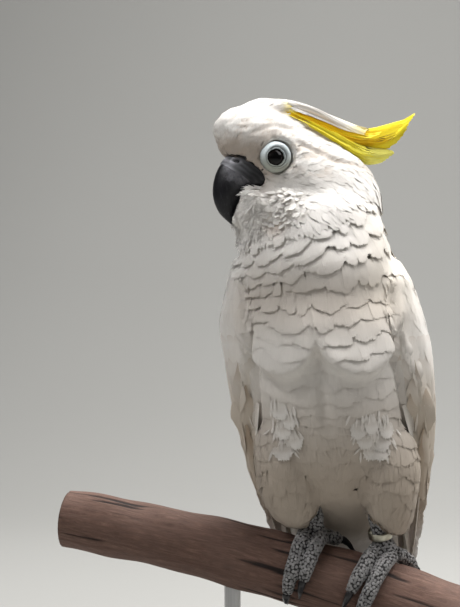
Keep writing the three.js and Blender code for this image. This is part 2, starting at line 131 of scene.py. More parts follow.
def turn(count):
    """Even angles once round."""
    return np.linspace(0, 2 * math.pi, count, endpoint=False)


# ---- meshes ----
def linked(name, data):
    obj = bpy.data.objects.new(name, data)
    bpy.context.collection.objects.link(obj)
    return obj


def new_object(name, verts, faces):
    """A smooth-shaded object from vertices in mm."""
    mesh = bpy.data.meshes.new(name)
    mesh.from_pydata((np.asarray(verts) * MM).tolist(), [], [tuple(map(int, f)) for f in faces])
    mesh.polygons.foreach_set("use_smooth", [True] * len(mesh.polygons))
    mesh.update()
    return linked(name, mesh)


def mesh_arrays(obj):
    """Vertices in mm and triangles of an object."""
    mesh = obj.data
    co = np.empty(len(mesh.vertices) * 3)
    mesh.vertices.foreach_get("co", co)
    mesh.calc_loop_triangles()
    tri = np.empty(len(mesh.loop_triangles) * 3, int)
    mesh.loop_triangles.foreach_get("vertices", tri)
    return co.reshape(-1, 3) / MM, tri.reshape(-1, 3)


def surface_of(verts, faces):
    return BVHTree.FromPolygons(verts.tolist(), [tuple(map(int, f)) for f in faces])


def grown_copy(names, grow):
    """One mesh of copies of CAD nodes, each grown a little so that they run into each other."""
    whole = bmesh.new()
    for name in names:
        part = bmesh.new()
        part.from_mesh(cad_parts[name].data)
        bmesh.ops.remove_doubles(part, verts=part.verts, dist=1e-5)
        part.normal_update()
        for v in part.verts:
            v.co += v.normal * grow * MM
        piece = bpy.data.meshes.new("part")
        part.to_mesh(piece)
        part.free()
        whole.from_mesh(piece)
        bpy.data.meshes.remove(piece)
    mesh = bpy.data.meshes.new("whole")
    whole.to_mesh(mesh)
    whole.free()
    return mesh


def remeshed(names, grow, voxel):
    """The outer surface of CAD nodes as one even mesh: vertices in mm and four-sided faces."""
    obj = linked("remesh", grown_copy(names, grow))
    mod = obj.modifiers.new("remesh", "REMESH")
    mod.mode = "VOXEL"
    mod.voxel_size = voxel * MM
    made = obj.evaluated_get(bpy.context.evaluated_depsgraph_get()).to_mesh()
    co = np.empty(len(made.vertices) * 3)
    made.vertices.foreach_get("co", co)
    quads = np.array([list(p.vertices) for p in made.polygons if len(p.vertices) == 4])
    bpy.data.objects.remove(obj)
    return co.reshape(-1, 3) / MM, quads


def edges_of(faces):
    pairs = np.concatenate([faces[:, [i, (i + 1) % faces.shape[1]]] for i in range(faces.shape[1])])
    return np.unique(np.sort(pairs, axis=1), axis=0)


def relaxed(values, edges, rounds, share=0.5):
    """Each vertex moves towards the mean of its neighbours, some rounds over."""
    count = np.bincount(edges.ravel(), minlength=len(values))[:, None]
    values = values.copy()
    for _ in range(rounds):
        total = np.zeros_like(values)
        np.add.at(total, edges[:, 0], values[edges[:, 1]])
        np.add.at(total, edges[:, 1], values[edges[:, 0]])
        values += share * (total / np.maximum(count, 1) - values)
    return values


def normals_of(verts, faces):
    a, b, c = verts[faces[:, 0]], verts[faces[:, 1]], verts[faces[:, 2]]
    d = verts[faces[:, -1]]
    face = np.cross(c - a, d - b) if faces.shape[1] == 4 else np.cross(b - a, c - a)
    total = np.zeros_like(verts)
    for i in range(faces.shape[1]):
        np.add.at(total, faces[:, i], face)
    return unit(total)


def ring_loft(rings, closed_ends=True):
    """Vertices and faces through rings of equal counts."""
    count = len(rings[0])
    verts = [p for ring in rings for p in ring]
    faces = []
    for r in range(len(rings) - 1):
        for i in range(count):
            a, b = r * count + i, r * count + (i + 1) % count
            faces.append((a, b, b + count, a + count))
    if closed_ends:
        for ring, flip in ((0, True), (len(rings) - 1, False)):
            verts.append(np.mean(rings[ring], axis=0))
            middle = len(verts) - 1
            for i in range(count):
                a, b = ring * count + i, ring * count + (i + 1) % count
                faces.append((b, a, middle) if flip else (a, b, middle))
    return np.array(verts), faces


def set_values(obj, name, values):
    """A named number, vector or colour on each vertex."""
    values = np.asarray(values, np.float32).reshape(len(obj.data.vertices), -1)
    kinds = {1: ("FLOAT", "value"), 3: ("FLOAT_VECTOR", "vector"), 4: ("FLOAT_COLOR", "color")}
    kind, key = kinds[values.shape[1]]
    obj.data.attributes.new(name, kind, "POINT").data.foreach_set(key, values.ravel())


def set_tint(obj, colours):
    rgba = np.ones((len(obj.data.vertices), 4), np.float32)
    rgba[:, :3] = colours
    set_values(obj, "tint", rgba)


def finished(obj, material, slot, *replaced):
    """Gives a piece its look and its body, and hides the CAD nodes it stands for; slot is not used."""
    obj.data.materials.append(material)
    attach(obj, "root")
    if replaced:
        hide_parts(*replaced)


# ---- materials ----
class Nodes:
    """A short way to write a material's node tree."""

    def __init__(self, name):
        self.material = bpy.data.materials.new(name)
        self.material.use_nodes = True
        self.tree = self.material.node_tree
        self.shader = self.tree.nodes["Principled BSDF"]

    def add(self, kind, **settings):
        node = self.tree.nodes.new("ShaderNode" + kind)
        inputs = settings.pop("inputs", {})
        for key, value in settings.items():
            setattr(node, key, value)
        for key, value in inputs.items():
            self.put(node.inputs[key], value)
        return node

    def put(self, socket, value):
        if isinstance(value, bpy.types.NodeSocket):
            self.tree.links.new(value, socket)
        else:
            socket.default_value = value

    def attribute(self, name, output="Color"):
        return self.add("Attribute", attribute_name=name).outputs[output]

    def scaled(self, vector, scale):
        return self.add("Mapping", inputs={"Vector": vector, "Scale": scale}).outputs[0]

    def place(self, scale=(1, 1, 1)):
        return self.scaled(self.add("TexCoord").outputs["Object"], scale)

    def noise(self, vector, scale, detail=3.0, rough=0.55):
        inputs = {"Vector": vector, "Scale": scale, "Detail": detail, "Roughness": rough}
        return self.add("TexNoise", inputs=inputs).outputs["Fac"]

    def ramp(self, value, *stops):
        made = self.add("ValToRGB", inputs={"Fac": value})
        ramp = made.color_ramp
        while len(ramp.elements) < len(stops):
            ramp.elements.new(0.5)
        for element, (place, colour) in zip(ramp.elements, stops):
            element.position = place
            element.color = (*colour, 1)
        return made.outputs["Color"]

    def math(self, operation, a, b, clamp=False):
        made = self.add("Math", operation=operation, use_clamp=clamp)
        self.put(made.inputs[0], a)
        self.put(made.inputs[1], b)
        return made.outputs[0]

    def mix(self, share, a, b, blend="MIX"):
        made = self.add("Mix", data_type="RGBA", blend_type=blend)
        self.put(made.inputs[0], share)
        for socket, value in ((made.inputs[6], a), (made.inputs[7], b)):
            self.put(socket, (*value, 1) if isinstance(value, tuple) else value)
        return made.outputs[2]

    def spread(self, value, low, high):
        """A 0 to 1 value moved into the range low to high."""
        made = self.add("MapRange", inputs={"Value": value, "To Min": low, "To Max": high})
        return made.outputs[0]

    def shaded(self, colour, value, low, high):
        """A colour times a 0 to 1 value moved into the range low to high."""
        shade = self.spread(value, low, high)
        grey = self.add("CombineXYZ", inputs={"X": shade, "Y": shade, "Z": shade}).outputs[0]
        return self.mix(1.0, colour, grey, "MULTIPLY")

    def bump(self, height, distance, strength=1.0):
        inputs = {"Height": height, "Distance": distance, "Strength": strength}
        return self.add("Bump", inputs=inputs).outputs[0]

    def out(self, **inputs):
        """Sets the shader's inputs, named with underscores for spaces."""
        for key, value in inputs.items():
            self.put(self.shader.inputs[key.replace("_", " ")], value)
        return self.material


def feather_material():
    """Vanes: a tint per vertex, with barbs that run out along each feather."""
    n = Nodes("feather")
    streaks = n.noise(n.scaled(n.attribute("vane"), (34, 1.6, 37)), 1.0, 2.0, 0.6)
    return n.out(
        Base_Color=n.shaded(n.attribute("tint"), streaks, 0.93, 1.05), Roughness=0.78,
        Normal=n.bump(streaks, 0.0003, 0.35), Sheen_Weight=0.12, Specular_IOR_Level=0.18,
    )


def skin_material():
    """Under-down: the plumage's colours, a little darker in the hollows of its fine bump, as painted
    shade.
    """
    n = Nodes("skin")
    down = n.noise(n.place(), 900)
    colour = n.shaded(n.attribute("tint"), down, 0.85, 1.0)
    return n.out(Base_Color=colour, Roughness=0.9, Normal=n.bump(down, 0.0008))


def bill_material():
    """Black horn with grey powder in patches, faint growth lines and fine scratches."""
    n = Nodes("bill")
    place = n.place()
    broad = n.noise(place, 160, 5, 0.65)
    fine = n.noise(place, 900, 4, 0.6)
    scratch = n.noise(n.place((1, 1, 0.15)), 1300)
    cover = n.ramp(broad, (0.36, (0.1, 0.1, 0.1)), (0.56, (1, 1, 1)))
    powder = n.math("MULTIPLY", n.attribute("powder", "Fac"), cover, clamp=True)
    dark = n.mix(broad, (0.006, 0.006, 0.008), (0.016, 0.016, 0.02))
    grey = n.mix(fine, (0.10, 0.10, 0.115), (0.30, 0.30, 0.33))
    colour = n.mix(powder, dark, grey)
    lines = n.math("MULTIPLY", n.ramp(scratch, (0.55, (0, 0, 0)), (0.75, (1, 1, 1))), 0.10)
    return n.out(
        Base_Color=n.mix(lines, colour, (0.22, 0.22, 0.25)), Specular_IOR_Level=0.35,
        Roughness=n.math("ADD", n.spread(fine, 0.25, 0.42), n.math("MULTIPLY", powder, 0.35)),
        Normal=n.bump(n.math("ADD", scratch, fine), 0.0002, 0.5),
    )


def tinted_material(name, grain, share, dark, rough, bump, specular=0.5):
    """Bare skin or scales: a tint per vertex under one fine noise, which grain, as (scale, detail,
    roughness), describes; a share of it darkens, and it moves the roughness and the relief."""
    n = Nodes(name)
    fine = n.noise(n.place(), *grain)
    return n.out(
        Base_Color=n.mix(n.math("MULTIPLY", fine, share), n.attribute("tint"), dark),
        Roughness=n.spread(fine, *rough), Normal=n.bump(fine, *bump), Specular_IOR_Level=specular,
    )


def folded_skin(name, scale=900):
    """Bare wrinkled skin."""
    return tinted_material(name, (scale, 4, 0.6), 0.35, (0.03, 0.035, 0.04), (0.52, 0.75),
                           (0.0003, 0.6), 0.35)


def eye_material():
    n = Nodes("eye")
    return n.out(
        Base_Color=n.mix(n.attribute("iris", "Fac"), (0.002, 0.002, 0.002), (0.008, 0.005, 0.004)),
        Roughness=n.spread(n.noise(n.place(), 300, 2), 0.04, 0.1), Specular_IOR_Level=0.12,
        Coat_Weight=0.25, Coat_Roughness=0.02,
    )


def plain_material(name, grain, colours, rough, bump=None, stretch=(1, 1, 1), metallic=0.0):
    """One noise, as (scale, detail, roughness), that moves the colour between two, and the
    roughness and the relief with it."""
    n = Nodes(name)
    fine = n.noise(n.place(stretch), *grain)
    rough = n.spread(fine, *rough) if isinstance(rough, tuple) else rough
    n.out(Base_Color=n.mix(fine, *colours), Roughness=rough, Metallic=metallic)
    return n.out(Normal=n.bump(fine, *bump)) if bump else n.material


def wood_material():
    """Bare reddish-brown branch: long grain, darker cracks and pale chips."""
    n = Nodes("branch_wood")
    grain = n.attribute("grain")
    long_grain = n.noise(n.scaled(grain, (0.6, 30, 1)), 6.0, 6, 0.65)
    fine_grain = n.noise(n.scaled(grain, (2.5, 120, 1)), 8.0, 4, 0.6)
    blotch = n.noise(n.place(), 30, 4, 0.6)
    base = n.ramp(
        long_grain,
        (0.25, (0.07, 0.034, 0.024)),
        (0.45, (0.17, 0.088, 0.062)),
        (0.6, (0.26, 0.14, 0.10)),
        (0.8, (0.40, 0.25, 0.19)),
    )
    greyed = n.mix(n.math("MULTIPLY", blotch, 0.45), base, (0.26, 0.18, 0.15))
    streaked = n.mix(n.math("MULTIPLY", fine_grain, 0.55), greyed, (0.09, 0.047, 0.035))
    end = n.mix(n.attribute("end_grain", "Fac"), streaked, (0.2, 0.12, 0.075))
    height = n.math("ADD", long_grain, n.math("MULTIPLY", fine_grain, 0.6))
    return n.out(
        Base_Color=n.mix(n.attribute("crack", "Fac"), end, (0.018, 0.009, 0.007)),
        Roughness=n.spread(fine_grain, 0.62, 0.88), Normal=n.bump(height, 0.0009, 0.8),
    )


FEATHER = feather_material()
BILL = bill_material()
SCALES = tinted_material("foot_scales", (1500,), 0.3, (0.03, 0.03, 0.03), (0.5, 0.75), (0.0002,))
FOOT_SKIN = plain_material(
    "foot_skin", (1200,), ((0.02, 0.019, 0.02), (0.06, 0.057, 0.058)), 0.8, (0.0003,))
CLAW = plain_material(
    "claw", (800,), ((0.006, 0.006, 0.007), (0.03, 0.028, 0.03)), (0.22, 0.42), (0.00015,),
    stretch=(1, 1, 0.4))
BAND = plain_material(
    "leg_band", (420, 4, 0.65), ((0.62, 0.6, 0.5), (0.36, 0.34, 0.27)), (0.22, 0.5), (0.0001,),
    metallic=1.0)
PAINT = plain_material(
    "stand_paint", (260, 5, 0.6), ((0.018, 0.018, 0.019), (0.035, 0.035, 0.037)), (0.38, 0.5),
    (0.0001, 0.4))
STEEL = plain_material(
    "rod_steel", (1.0,), ((0.42, 0.42, 0.43), (0.6, 0.6, 0.6)), (0.24, 0.4), (0.00004,),
    stretch=(900, 900, 12), metallic=1.0)
GROUND = plain_material(
    "studio", (1.2, 2), ((0.38, 0.38, 0.366), (0.41, 0.41, 0.396)), 0.9)


# ---- camera, light and floor ----
VIEW = math.radians(8)
DISTANCE = 0.9
IN_VIEW = 0.3642  # metres in view at that distance
SENSOR = 36
VIEW_RIGHT = np.array([math.cos(VIEW), math.sin(VIEW), 0])
VIEW_BACK = np.array([math.sin(VIEW), -math.cos(VIEW), 0])
LOOKED_AT = VIEW_RIGHT * -0.066 + UP * 0.319  # metres

# Name, place, target, size, watts, colour and, where it isn't 180, the spread in degrees.
SOFT_WHITE = (1, 0.99, 0.98)
LIGHTS = [
    ("key", (0.3, 0.1, 1.75), (-0.01, 0, 0.36), (1.0, 0.9), 37, (1, 0.985, 0.965)),
    ("back", (0.25, 0.95, 1.35), (-0.02, 0, 0.38), (0.8, 0.6), 10, SOFT_WHITE),
    ("left", (-0.9, -0.4, 1.4), (-0.04, 0, 0.38), (0.8, 0.8), 3.8, (0.98, 0.99, 1)),
    ("right", (1.0, -0.1, 1.2), (0, 0, 0.33), (0.7, 0.7), 5, SOFT_WHITE),
    ("fill", (-0.6, -1.9, 1.5), (-0.02, 0, 0.38), (1.6, 1.4), 1.2, (1, 0.965, 0.93)),
    ("head", (-0.42, -0.3, 0.95), (-0.07, -0.02, 0.43), (0.25, 0.25), 0.05, SOFT_WHITE, 24),
    ("wall", (0.0, 1.15, 2.3), (0.0, 2.3, 0.55), (1.6, 0.6), 22, SOFT_WHITE, 150),
    ("glint", (-0.75, -1.0, 0.95), (-0.05, 0, 0.41), (0.22, 0.3), 0.9, (1, 1, 1)),
]
WORLD_COLOUR, WORLD_STRENGTH = (0.8, 0.77, 0.74, 1), 0.09

# The floor, in mm: where it starts, where it begins to curve up, and the wall behind.
FLOOR_FRONT, FLOOR_BACK, FLOOR_HALF = -3600.0, 1200.0, 3200.0
SWEEP_RADIUS, WALL_TOP = 1500.0, 4000.0


def aim(obj, target):
    obj.rotation_euler = (Vector(target) - obj.location).to_track_quat("-Z", "Y").to_euler()


def make_camera():
    data = bpy.data.cameras.new("camera")
    data.sensor_width = SENSOR
    data.lens = SENSOR * DISTANCE / IN_VIEW
    camera = linked("camera", data)
    camera.location = Vector(LOOKED_AT + VIEW_BACK * DISTANCE)
    aim(camera, LOOKED_AT)
    bpy.context.scene.camera = camera


def area_light(name, place, target, size, power, colour, spread=180):
    data = bpy.data.lights.new(name, "AREA")
    data.spread = math.radians(spread)
    data.shape = "RECTANGLE"
    data.size, data.size_y = size
    data.energy = power
    data.color = colour
    light = linked(name, data)
    light.location = place
    aim(light, target)


def make_studio():
    for light in LIGHTS:
        area_light(*light)
    world = bpy.data.worlds.new("world")
    world.use_nodes = True
    inputs = world.node_tree.nodes["Background"].inputs
    inputs[0].default_value, inputs[1].default_value = WORLD_COLOUR, WORLD_STRENGTH
    bpy.context.scene.world = world
    bpy.context.scene.view_settings.view_transform = "Standard"

    # A floor that sweeps up into a wall behind.
    profile = [(FLOOR_FRONT, 0.0), (FLOOR_BACK, 0.0)]
    for a in np.linspace(0, math.pi / 2, 24)[1:]:
        profile.append((FLOOR_BACK + SWEEP_RADIUS * math.sin(a), SWEEP_RADIUS * (1 - math.cos(a))))
    profile.append((FLOOR_BACK + SWEEP_RADIUS, WALL_TOP))
    verts = [(x, y, z) for x in (-FLOOR_HALF, FLOOR_HALF) for y, z in profile]
    count = len(profile)
    faces = [(i, i + 1, count + i + 1, count + i) for i in range(count - 1)]
    floor = new_object("studio_floor", verts, faces)
    floor.data.materials.append(GROUND)


make_camera()
make_studio()

# ---- the body's surfaces ----
outer_verts, outer_faces = remeshed(FLESH + BLADES + ["crest_white"], grow=0.5, voxel=1.7)
outer_verts = relaxed(outer_verts, edges_of(outer_faces), 8)

# The trunk's middle from front to back by height, and the level where the head's coat begins.
AXIS_Y = through([
    (-60, 68), (-38, 61), (-4, 55), (24, 35), (50, 22), (85, 12), (120, 6), (150, 2), (230, 0),
])
HEAD_LEVEL = 201.0

# The plumage's rows: level, then their measures there.
SPACING, WIDTH, RELIEF, SCALLOP = range(4)
ROWS = through([
    (-40, 8, 15, 0.6, 0.5), (20, 8.5, 17, 0.8, 0.5), (50, 9, 19, 0.9, 0.5),
    (85, 8.5, 20, 0.9, 0.45), (120, 8.5, 20, 0.95, 0.45), (145, 9, 20, 1.25, 0.5),
    (165, 10, 20, 1.6, 0.6), (185, 10, 19, 1.8, 0.65), (200, 9, 16, 1.5, 0.6),
    (212, 7, 13, 0.0, 0.5), (240, 7, 13, 0.0, 0.5),
])
ROW_TILT = 0.42
_LEVELS = np.linspace(-60, 260, 641)
_PASSED = np.cumsum(0.5 / ROWS(_LEVELS)[:, SPACING])
LEAN = through([(h, lean(h)) for h in np.linspace(-80, 320, 201).tolist()])
Field = namedtuple("Field", "level passed beside measures")


def noise_at(points, scale, shift=0.0):
    return np.array([noise.noise(p) for p in (points / scale + shift).tolist()])


def row_tilt(level):
    """How steeply the rows rise to the front on the neck."""
    return ROW_TILT * smooth(125, 200, level)


def row_field(points):
    """The rows' level at places, how many rows are passed on the way down, the place beside
    other feathers and the rows' measures there."""
    height = points[:, 2] - PERCH_TOP
    x = points[:, 0] - LEAN(height)[:, 0]
    y = points[:, 1] - AXIS_Y(height)[:, 0]
    out = np.hypot(x, y) + 1e-6
    level = height
    for _ in range(3):
        dip = 9.0 * smooth(60, 95, level) * smooth(165, 130, level)
        level = (height + 44 * row_tilt(level) * (x * FORWARD[0] + y * FORWARD[1]) / out
                 + dip * np.maximum(0, -y / out) ** 3)
    measures = ROWS(level)
    passed = -np.interp(level, _LEVELS, _PASSED) + 0.42 * noise_at(points, 21.0)
    passed = passed + 0.07 * noise_at(points, 5.0, 7.0)
    beside = np.arctan2(x, -y) * 48 / measures[:, WIDTH] + 0.5 * noise_at(points, 30.0, 11.0)
    return Field(level, passed, beside, measures)


def row_edge(row, field):
    """Where a row's scalloped edge lies, and how near a feather's middle is (1) or its side (0)."""
    near = np.abs(np.cos(math.pi * (field.beside + 0.5 * row)))
    return row + field.measures[:, SCALLOP] * near, near


def own_row(field):
    """The row that lies on top at each place: the first whose edge isn't passed yet."""
    row = np.floor(field.passed)
    own = row + 2
    for step in (1, 0, -1):
        own = np.where(row_edge(row + step, field)[0] >= field.passed, row + step, own)
    return own


def in_row(row, field):
    """How far places are along their row's feathers (1 at the edge), and near to their middles."""
    below, near = row_edge(row, field)
    above = row_edge(row - 1, field)[0]
    return np.clip((field.passed - above) / np.maximum(below - above, 0.3), 0, 1), near


# By height: the folded wings' middle from front to back, and their front edge in degrees round it.
WING_MIDDLE = through([
    (-96, 90), (-60, 72), (-30, 59), (0, 44), (30, 26), (60, 14), (90, 8), (118, 4), (172, 2),
])
WING_EDGE = through([
    (-96, 0), (-88, -8), (-60, -8), (0, -10), (30, -12), (60, -17), (90, -26), (118, -32),
    (140, -32), (156, -26), (167, -16), (173, -8),
])


def wing_seam(points):
    """How far places lie outside a wing's front edge (negative on the trunk), and how fully that
    edge is there."""
    height = points[:, 2] - PERCH_TOP
    x = np.abs(points[:, 0] - LEAN(height)[:, 0])
    y = points[:, 1] - WING_MIDDLE(height)[:, 0]
    off = (np.arctan2(y, x) - np.radians(WING_EDGE(height)[:, 0])) * np.hypot(x, y)
    return off, smooth(-40, -10, height) * smooth(170, 150, height)


def head_creases(f, u, side):
    """The furrow behind the eye, the crease over the brow and the one where the hood starts: how
    far above each a place is, how fully the crease is there, its depth and the swell above it."""
    sides = smooth(7, 12, side)
    return [
        (u - np.interp(f, [-62, -49, -35, -18, -10], [-7, -3.5, -2, 5, 8.8]),
         smooth(-66, -54, f) * smooth(-8, -13, f) * sides, 1.0, 0.5),
        (u - np.interp(f, [-13, -9, 2, 18], [14.5, 16, 17.5, 13]),
         smooth(-17, -9, f) * smooth(21, 12, f) * sides, 0.6, 0.45),
        (u - np.interp(f, [-16, -9, -3, 2, 8], [25.5, 27.4, 28.4, 27.2, 25]),
         smooth(-22, -14, f) * smooth(9, 3, f) * smooth(3, 7, side), 0.6, 0.3),
    ]


def head_wisps(points):
    """The head's fine locks, as noise drawn out along the lie of the feathers."""
    f, l, u = in_head(points)
    across = u / 2.9 + 0.3 * f / 2.9 * smooth(0, -20, f)
    drawn = np.stack([f / 8.0 + 0.05 * u, across, l / 4.5], axis=1)
    back = np.clip(smooth(214, 228, points[:, 2] - PERCH_TOP), 0, 1)
    return noise_at(drawn, 1.0, 17.0) * back


def broad_form(points):
    """The breast's two lobes and the hollows over and under them, and small corrections of
    shoulder, crown, brow and chin."""
    height = points[:, 2] - PERCH_TOP
    off = points[:, 0] - LEAN(height)[:, 0]
    front = smooth(5, -25, points[:, 1]) * smooth(52, 42, np.abs(off))
    lobe = np.abs((off - np.where(off < -2, -23.5, 19.5)) / 20)
    ledge = height - 105 - 15 * np.minimum(lobe, 1.4) ** 2.4
    form = 5.0 * smooth(-3.0, 3.0, ledge) * hump(np.maximum(ledge, 0), 0, 19)
    form = form - 3.2 * hump(height, 152, 12) - 1.5 * hump(ledge, -7, 6)
    notch = hump(off, -2, 4.0) * smooth(66, 84, height) * smooth(150, 120, height)
    form = (form - 2.2 * notch) * front
    form = form + 2.5 * hump(height, 134, 15) * smooth(-38, -50, off)
    f, l, u = in_head(points)
    side = np.abs(l)
    brow = 0.8 * hump(u, 20, 4) - 1.6 * hump(u, 11, 5)
    form = form + brow * smooth(20, 28, f) * smooth(14, 8, side)
    form = form - 1.4 * hump(f, 14, 7) * smooth(22, 30, u)
    jaw = 3.6 * hump(f, 11.5, 6) * hump(u, -25, 5.5)
    jaw = jaw + 1.6 * hump(f, -2.5, 6) * hump(u, -27, 7)
    jaw = jaw - 2.6 * hump(f, 4, 4) * hump(u, -40, 5)
    form = form + jaw * smooth(4, 9, side)
    return form - 3.0 * smooth(13, 20, f) * smooth(-22, -29, u) * smooth(-52, -43, u)


def soft_relief(points, row=None):
    """The broad form with terraces where row lies over row, low swells and the head's creases."""
    height = points[:, 2] - PERCH_TOP
    off = points[:, 0] - LEAN(height)[:, 0]
    body = smooth(0, 20, height) * smooth(222, 205, height) * smooth(54, 48, np.abs(off))
    field = row_field(points)
    along, inner = in_row(own_row(field) if row is None else row, field)
    terrace = along * (1 - 0.18 * smooth(0.7, 1.0, along)) * (0.75 + 0.35 * inner) - 0.4
    f, l, u = in_head(points)
    folds = 0
    for line, near, depth, bulge in head_creases(f, u, np.abs(l)):
        folds = folds - depth * hump(line, 0, 1.5) * near
        folds = folds + bulge * hump(line, 3.8, 2.8) * near
    folds = folds + 0.55 * head_wisps(points)
    fade = np.clip(0.75 + 0.9 * noise_at(points, 19.0, 31.0), 0.2, 1.25)
    terrace = terrace * lerp(fade, 1, smooth(150, 175, height))
    outside, there = wing_seam(points)
    seam = there * (0.9 * hump(outside, 3, 3.5) - 2.6 * hump(outside, -2.5, 2.6))
    body = body * (1 - smooth(-3, 3, outside) * there)
    swells = 1.2 * noise_at(points, 24.0, 3.0)
    return body * (swells + field.measures[:, RELIEF] * terrace) + folds + seam + broad_form(points)


BASE = surface_of(outer_verts, outer_faces)
base_normals = normals_of(outer_verts, outer_faces)
outer_verts = outer_verts + base_normals * soft_relief(outer_verts)[:, None]
OUTER = surface_of(outer_verts, outer_faces)


def on_base(place):
    """The nearest place on the smooth body under the relief, with its soft normal."""
    found, _, face, _ = BASE.find_nearest(place)
    return found, Vector(base_normals[outer_faces[face]].sum(axis=0)).normalized()


# Which CAD node is nearest to a place.
_node_verts, _node_faces, _node_names = [], [], []
for _name in FLESH + BLADES:
    _v, _f = mesh_arrays(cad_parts[_name])
    _node_faces.append(_f + sum(len(x) for x in _node_verts))
    _node_verts.append(_v)
    _node_names += [_name] * len(_f)
NEAREST_NODE = surface_of(np.concatenate(_node_verts), np.concatenate(_node_faces))


def node_at(point):
    return _node_names[NEAREST_NODE.find_nearest(Vector(point))[2]]


WHITE = np.array([0.88, 0.855, 0.82])
CREAM = np.array([0.86, 0.79, 0.68])
TAN = np.array([0.60, 0.515, 0.41])
# The next three colours stand in for shade, painted on; the first is partly also the lores' own dusky
# tone.
LORE_TONE_AND_SHADE = np.array([0.49, 0.42, 0.36])
WARM_SHADE = np.array([0.60, 0.49, 0.40])
PAINTED_SHADE = np.array([0.45, 0.375, 0.30])
YELLOW = np.array([1.0, 0.80, 0.03])
# A deep gold, which on the plumes under the hood is partly painted shade.
DEEP_YELLOW_AND_SHADE = np.array([0.86, 0.52, 0.005])

# The line along the head, as forward and up, over which the crest's own feathers lie.
CREST_LINE = ([-66, -46, -26, -17, -8], [2, 10, 18.5, 23, 27.5])


def plumage_colour_and_shade(points):
    """The plumage's colour at places, with painted shade: white, cream on the nape, tan low on the
    wings and yellow under the crest; a dusky tone before the eye, partly its own and partly painted
    shade, which runs on under the forehead; and painted shade in the hollow at the top of the breast,
    low on the body, under the jaw, in the wisps' grooves and in the head's creases."""
    points = np.atleast_2d(points)
    f, l, up = in_head(points)
    height = points[:, 2] - PERCH_TOP
    colour = np.tile(WHITE, (len(points), 1))
    # Before the eye: a dusky tone, partly the lores' own and partly painted shade; under the
    # forehead's front, painted shade.
    lores_and_shade = smooth(-4, 12, f) * smooth(15, 4, up) * smooth(-30, -14, up)
    lores_and_shade = np.maximum(lores_and_shade, smooth(14, 24, f) * smooth(16, 7, up) * smooth(-8, 0, up))
    nape = smooth(-30, -62, f) * smooth(215, 185, height) * smooth(120, 165, height) * 0.5
    low_wing = smooth(125, 85, height) * smooth(44, 52, off_axis(points)) * 0.55
    # Painted shade: darker low on the body, kept off the low back, and in the hollow at the top of the
    # breast.
    behind = smooth(30, 0, height) * smooth(20, 45, points[:, 1])
    painted_low_shade = smooth(140, 35, height) * (1 - behind) * 0.92
    painted_hollow_shade = hump(height, 148, 24) * smooth(-5, -30, points[:, 1]) * 0.6
    for share, other in (
        (painted_hollow_shade, PAINTED_SHADE), (lores_and_shade * 0.95, LORE_TONE_AND_SHADE), (nape, CREAM), (painted_low_shade, PAINTED_SHADE), (low_wing, TAN),
    ):
        colour += np.clip(share, 0, 1)[:, None] * (other - colour)
    # Painted shade, warm: in the grooves of the head's wisps, in the dent under the jaw and along the
    # head's creases.
    painted_wisp_shade = 0.5 * smooth(0.0, -0.45, head_wisps(points)) * smooth(32, 24, up)
    colour += painted_wisp_shade[:, None] * (WARM_SHADE - colour)
    jaw = 0.7 * hump(f, 4, 4.5) * hump(up, -41, 6)
    colour += jaw[:, None] * (WARM_SHADE - colour)
    for line, near, depth, _ in head_creases(f, up, np.abs(l)):
        share = 0.55 * depth * hump(line, -0.6, 2.6) * near
        colour += np.clip(share, 0, 0.75)[:, None] * (WARM_SHADE - colour)
    bed = smooth(-6, -12, f) * smooth(-0.5, 1.5, up - np.interp(f, *CREST_LINE))
    colour += bed[:, None] * (YELLOW * 0.85 - colour)
    return colour


# ---- the skin: one seamless piece, inside the plumage ----
def coat_depth(points):
    """How far the skin lies under the plumage's outer surface."""
    height = points[:, 2] - PERCH_TOP
    head = smooth(-50, -20, in_head(points)[0]) * smooth(206, 222, height)
    wing = smooth(45, 50, off_axis(points)) * smooth(180, 165, height)
    return lerp(lerp(np.full(len(points), 2.5), 1.3, head), 1.8, wing)


def make_skin():
    """Makes the skin, and gives its surface and the places of its faces in its UV map."""
    verts, faces = remeshed(FLESH, grow=0.5, voxel=2.2)
    edges = edges_of(faces)
    verts = relaxed(verts, edges, 6)
    depth = coat_depth(verts) + np.maximum(0, -broad_form(verts))
    for _ in range(4):
        verts = verts - normals_of(verts, faces) * (depth / 4)[:, None]
        verts = relaxed(verts, edges, 1, 0.4)
    skin = new_object("skin", verts, faces)
    set_tint(skin, plumage_colour_and_shade(verts))
    bpy.context.view_layer.objects.active = skin
    skin.select_set(True)
    skin.data.uv_layers.new(name="OFBake")
    bpy.ops.object.mode_set(mode="EDIT")
    bpy.ops.mesh.select_all(action="SELECT")
    bpy.ops.uv.smart_project(angle_limit=math.radians(66), island_margin=0.002)
    bpy.ops.object.mode_set(mode="OBJECT")
    uv = np.empty(len(skin.data.loops) * 2)
    skin.data.uv_layers["OFBake"].data.foreach_get("uv", uv)
    uv = uv.reshape(-1, 4, 2).mean(axis=1)
    finished(skin, skin_material(), "feathers_white", *FLESH)
    return surface_of(verts, faces), uv


SKIN, SKIN_UV = make_skin()


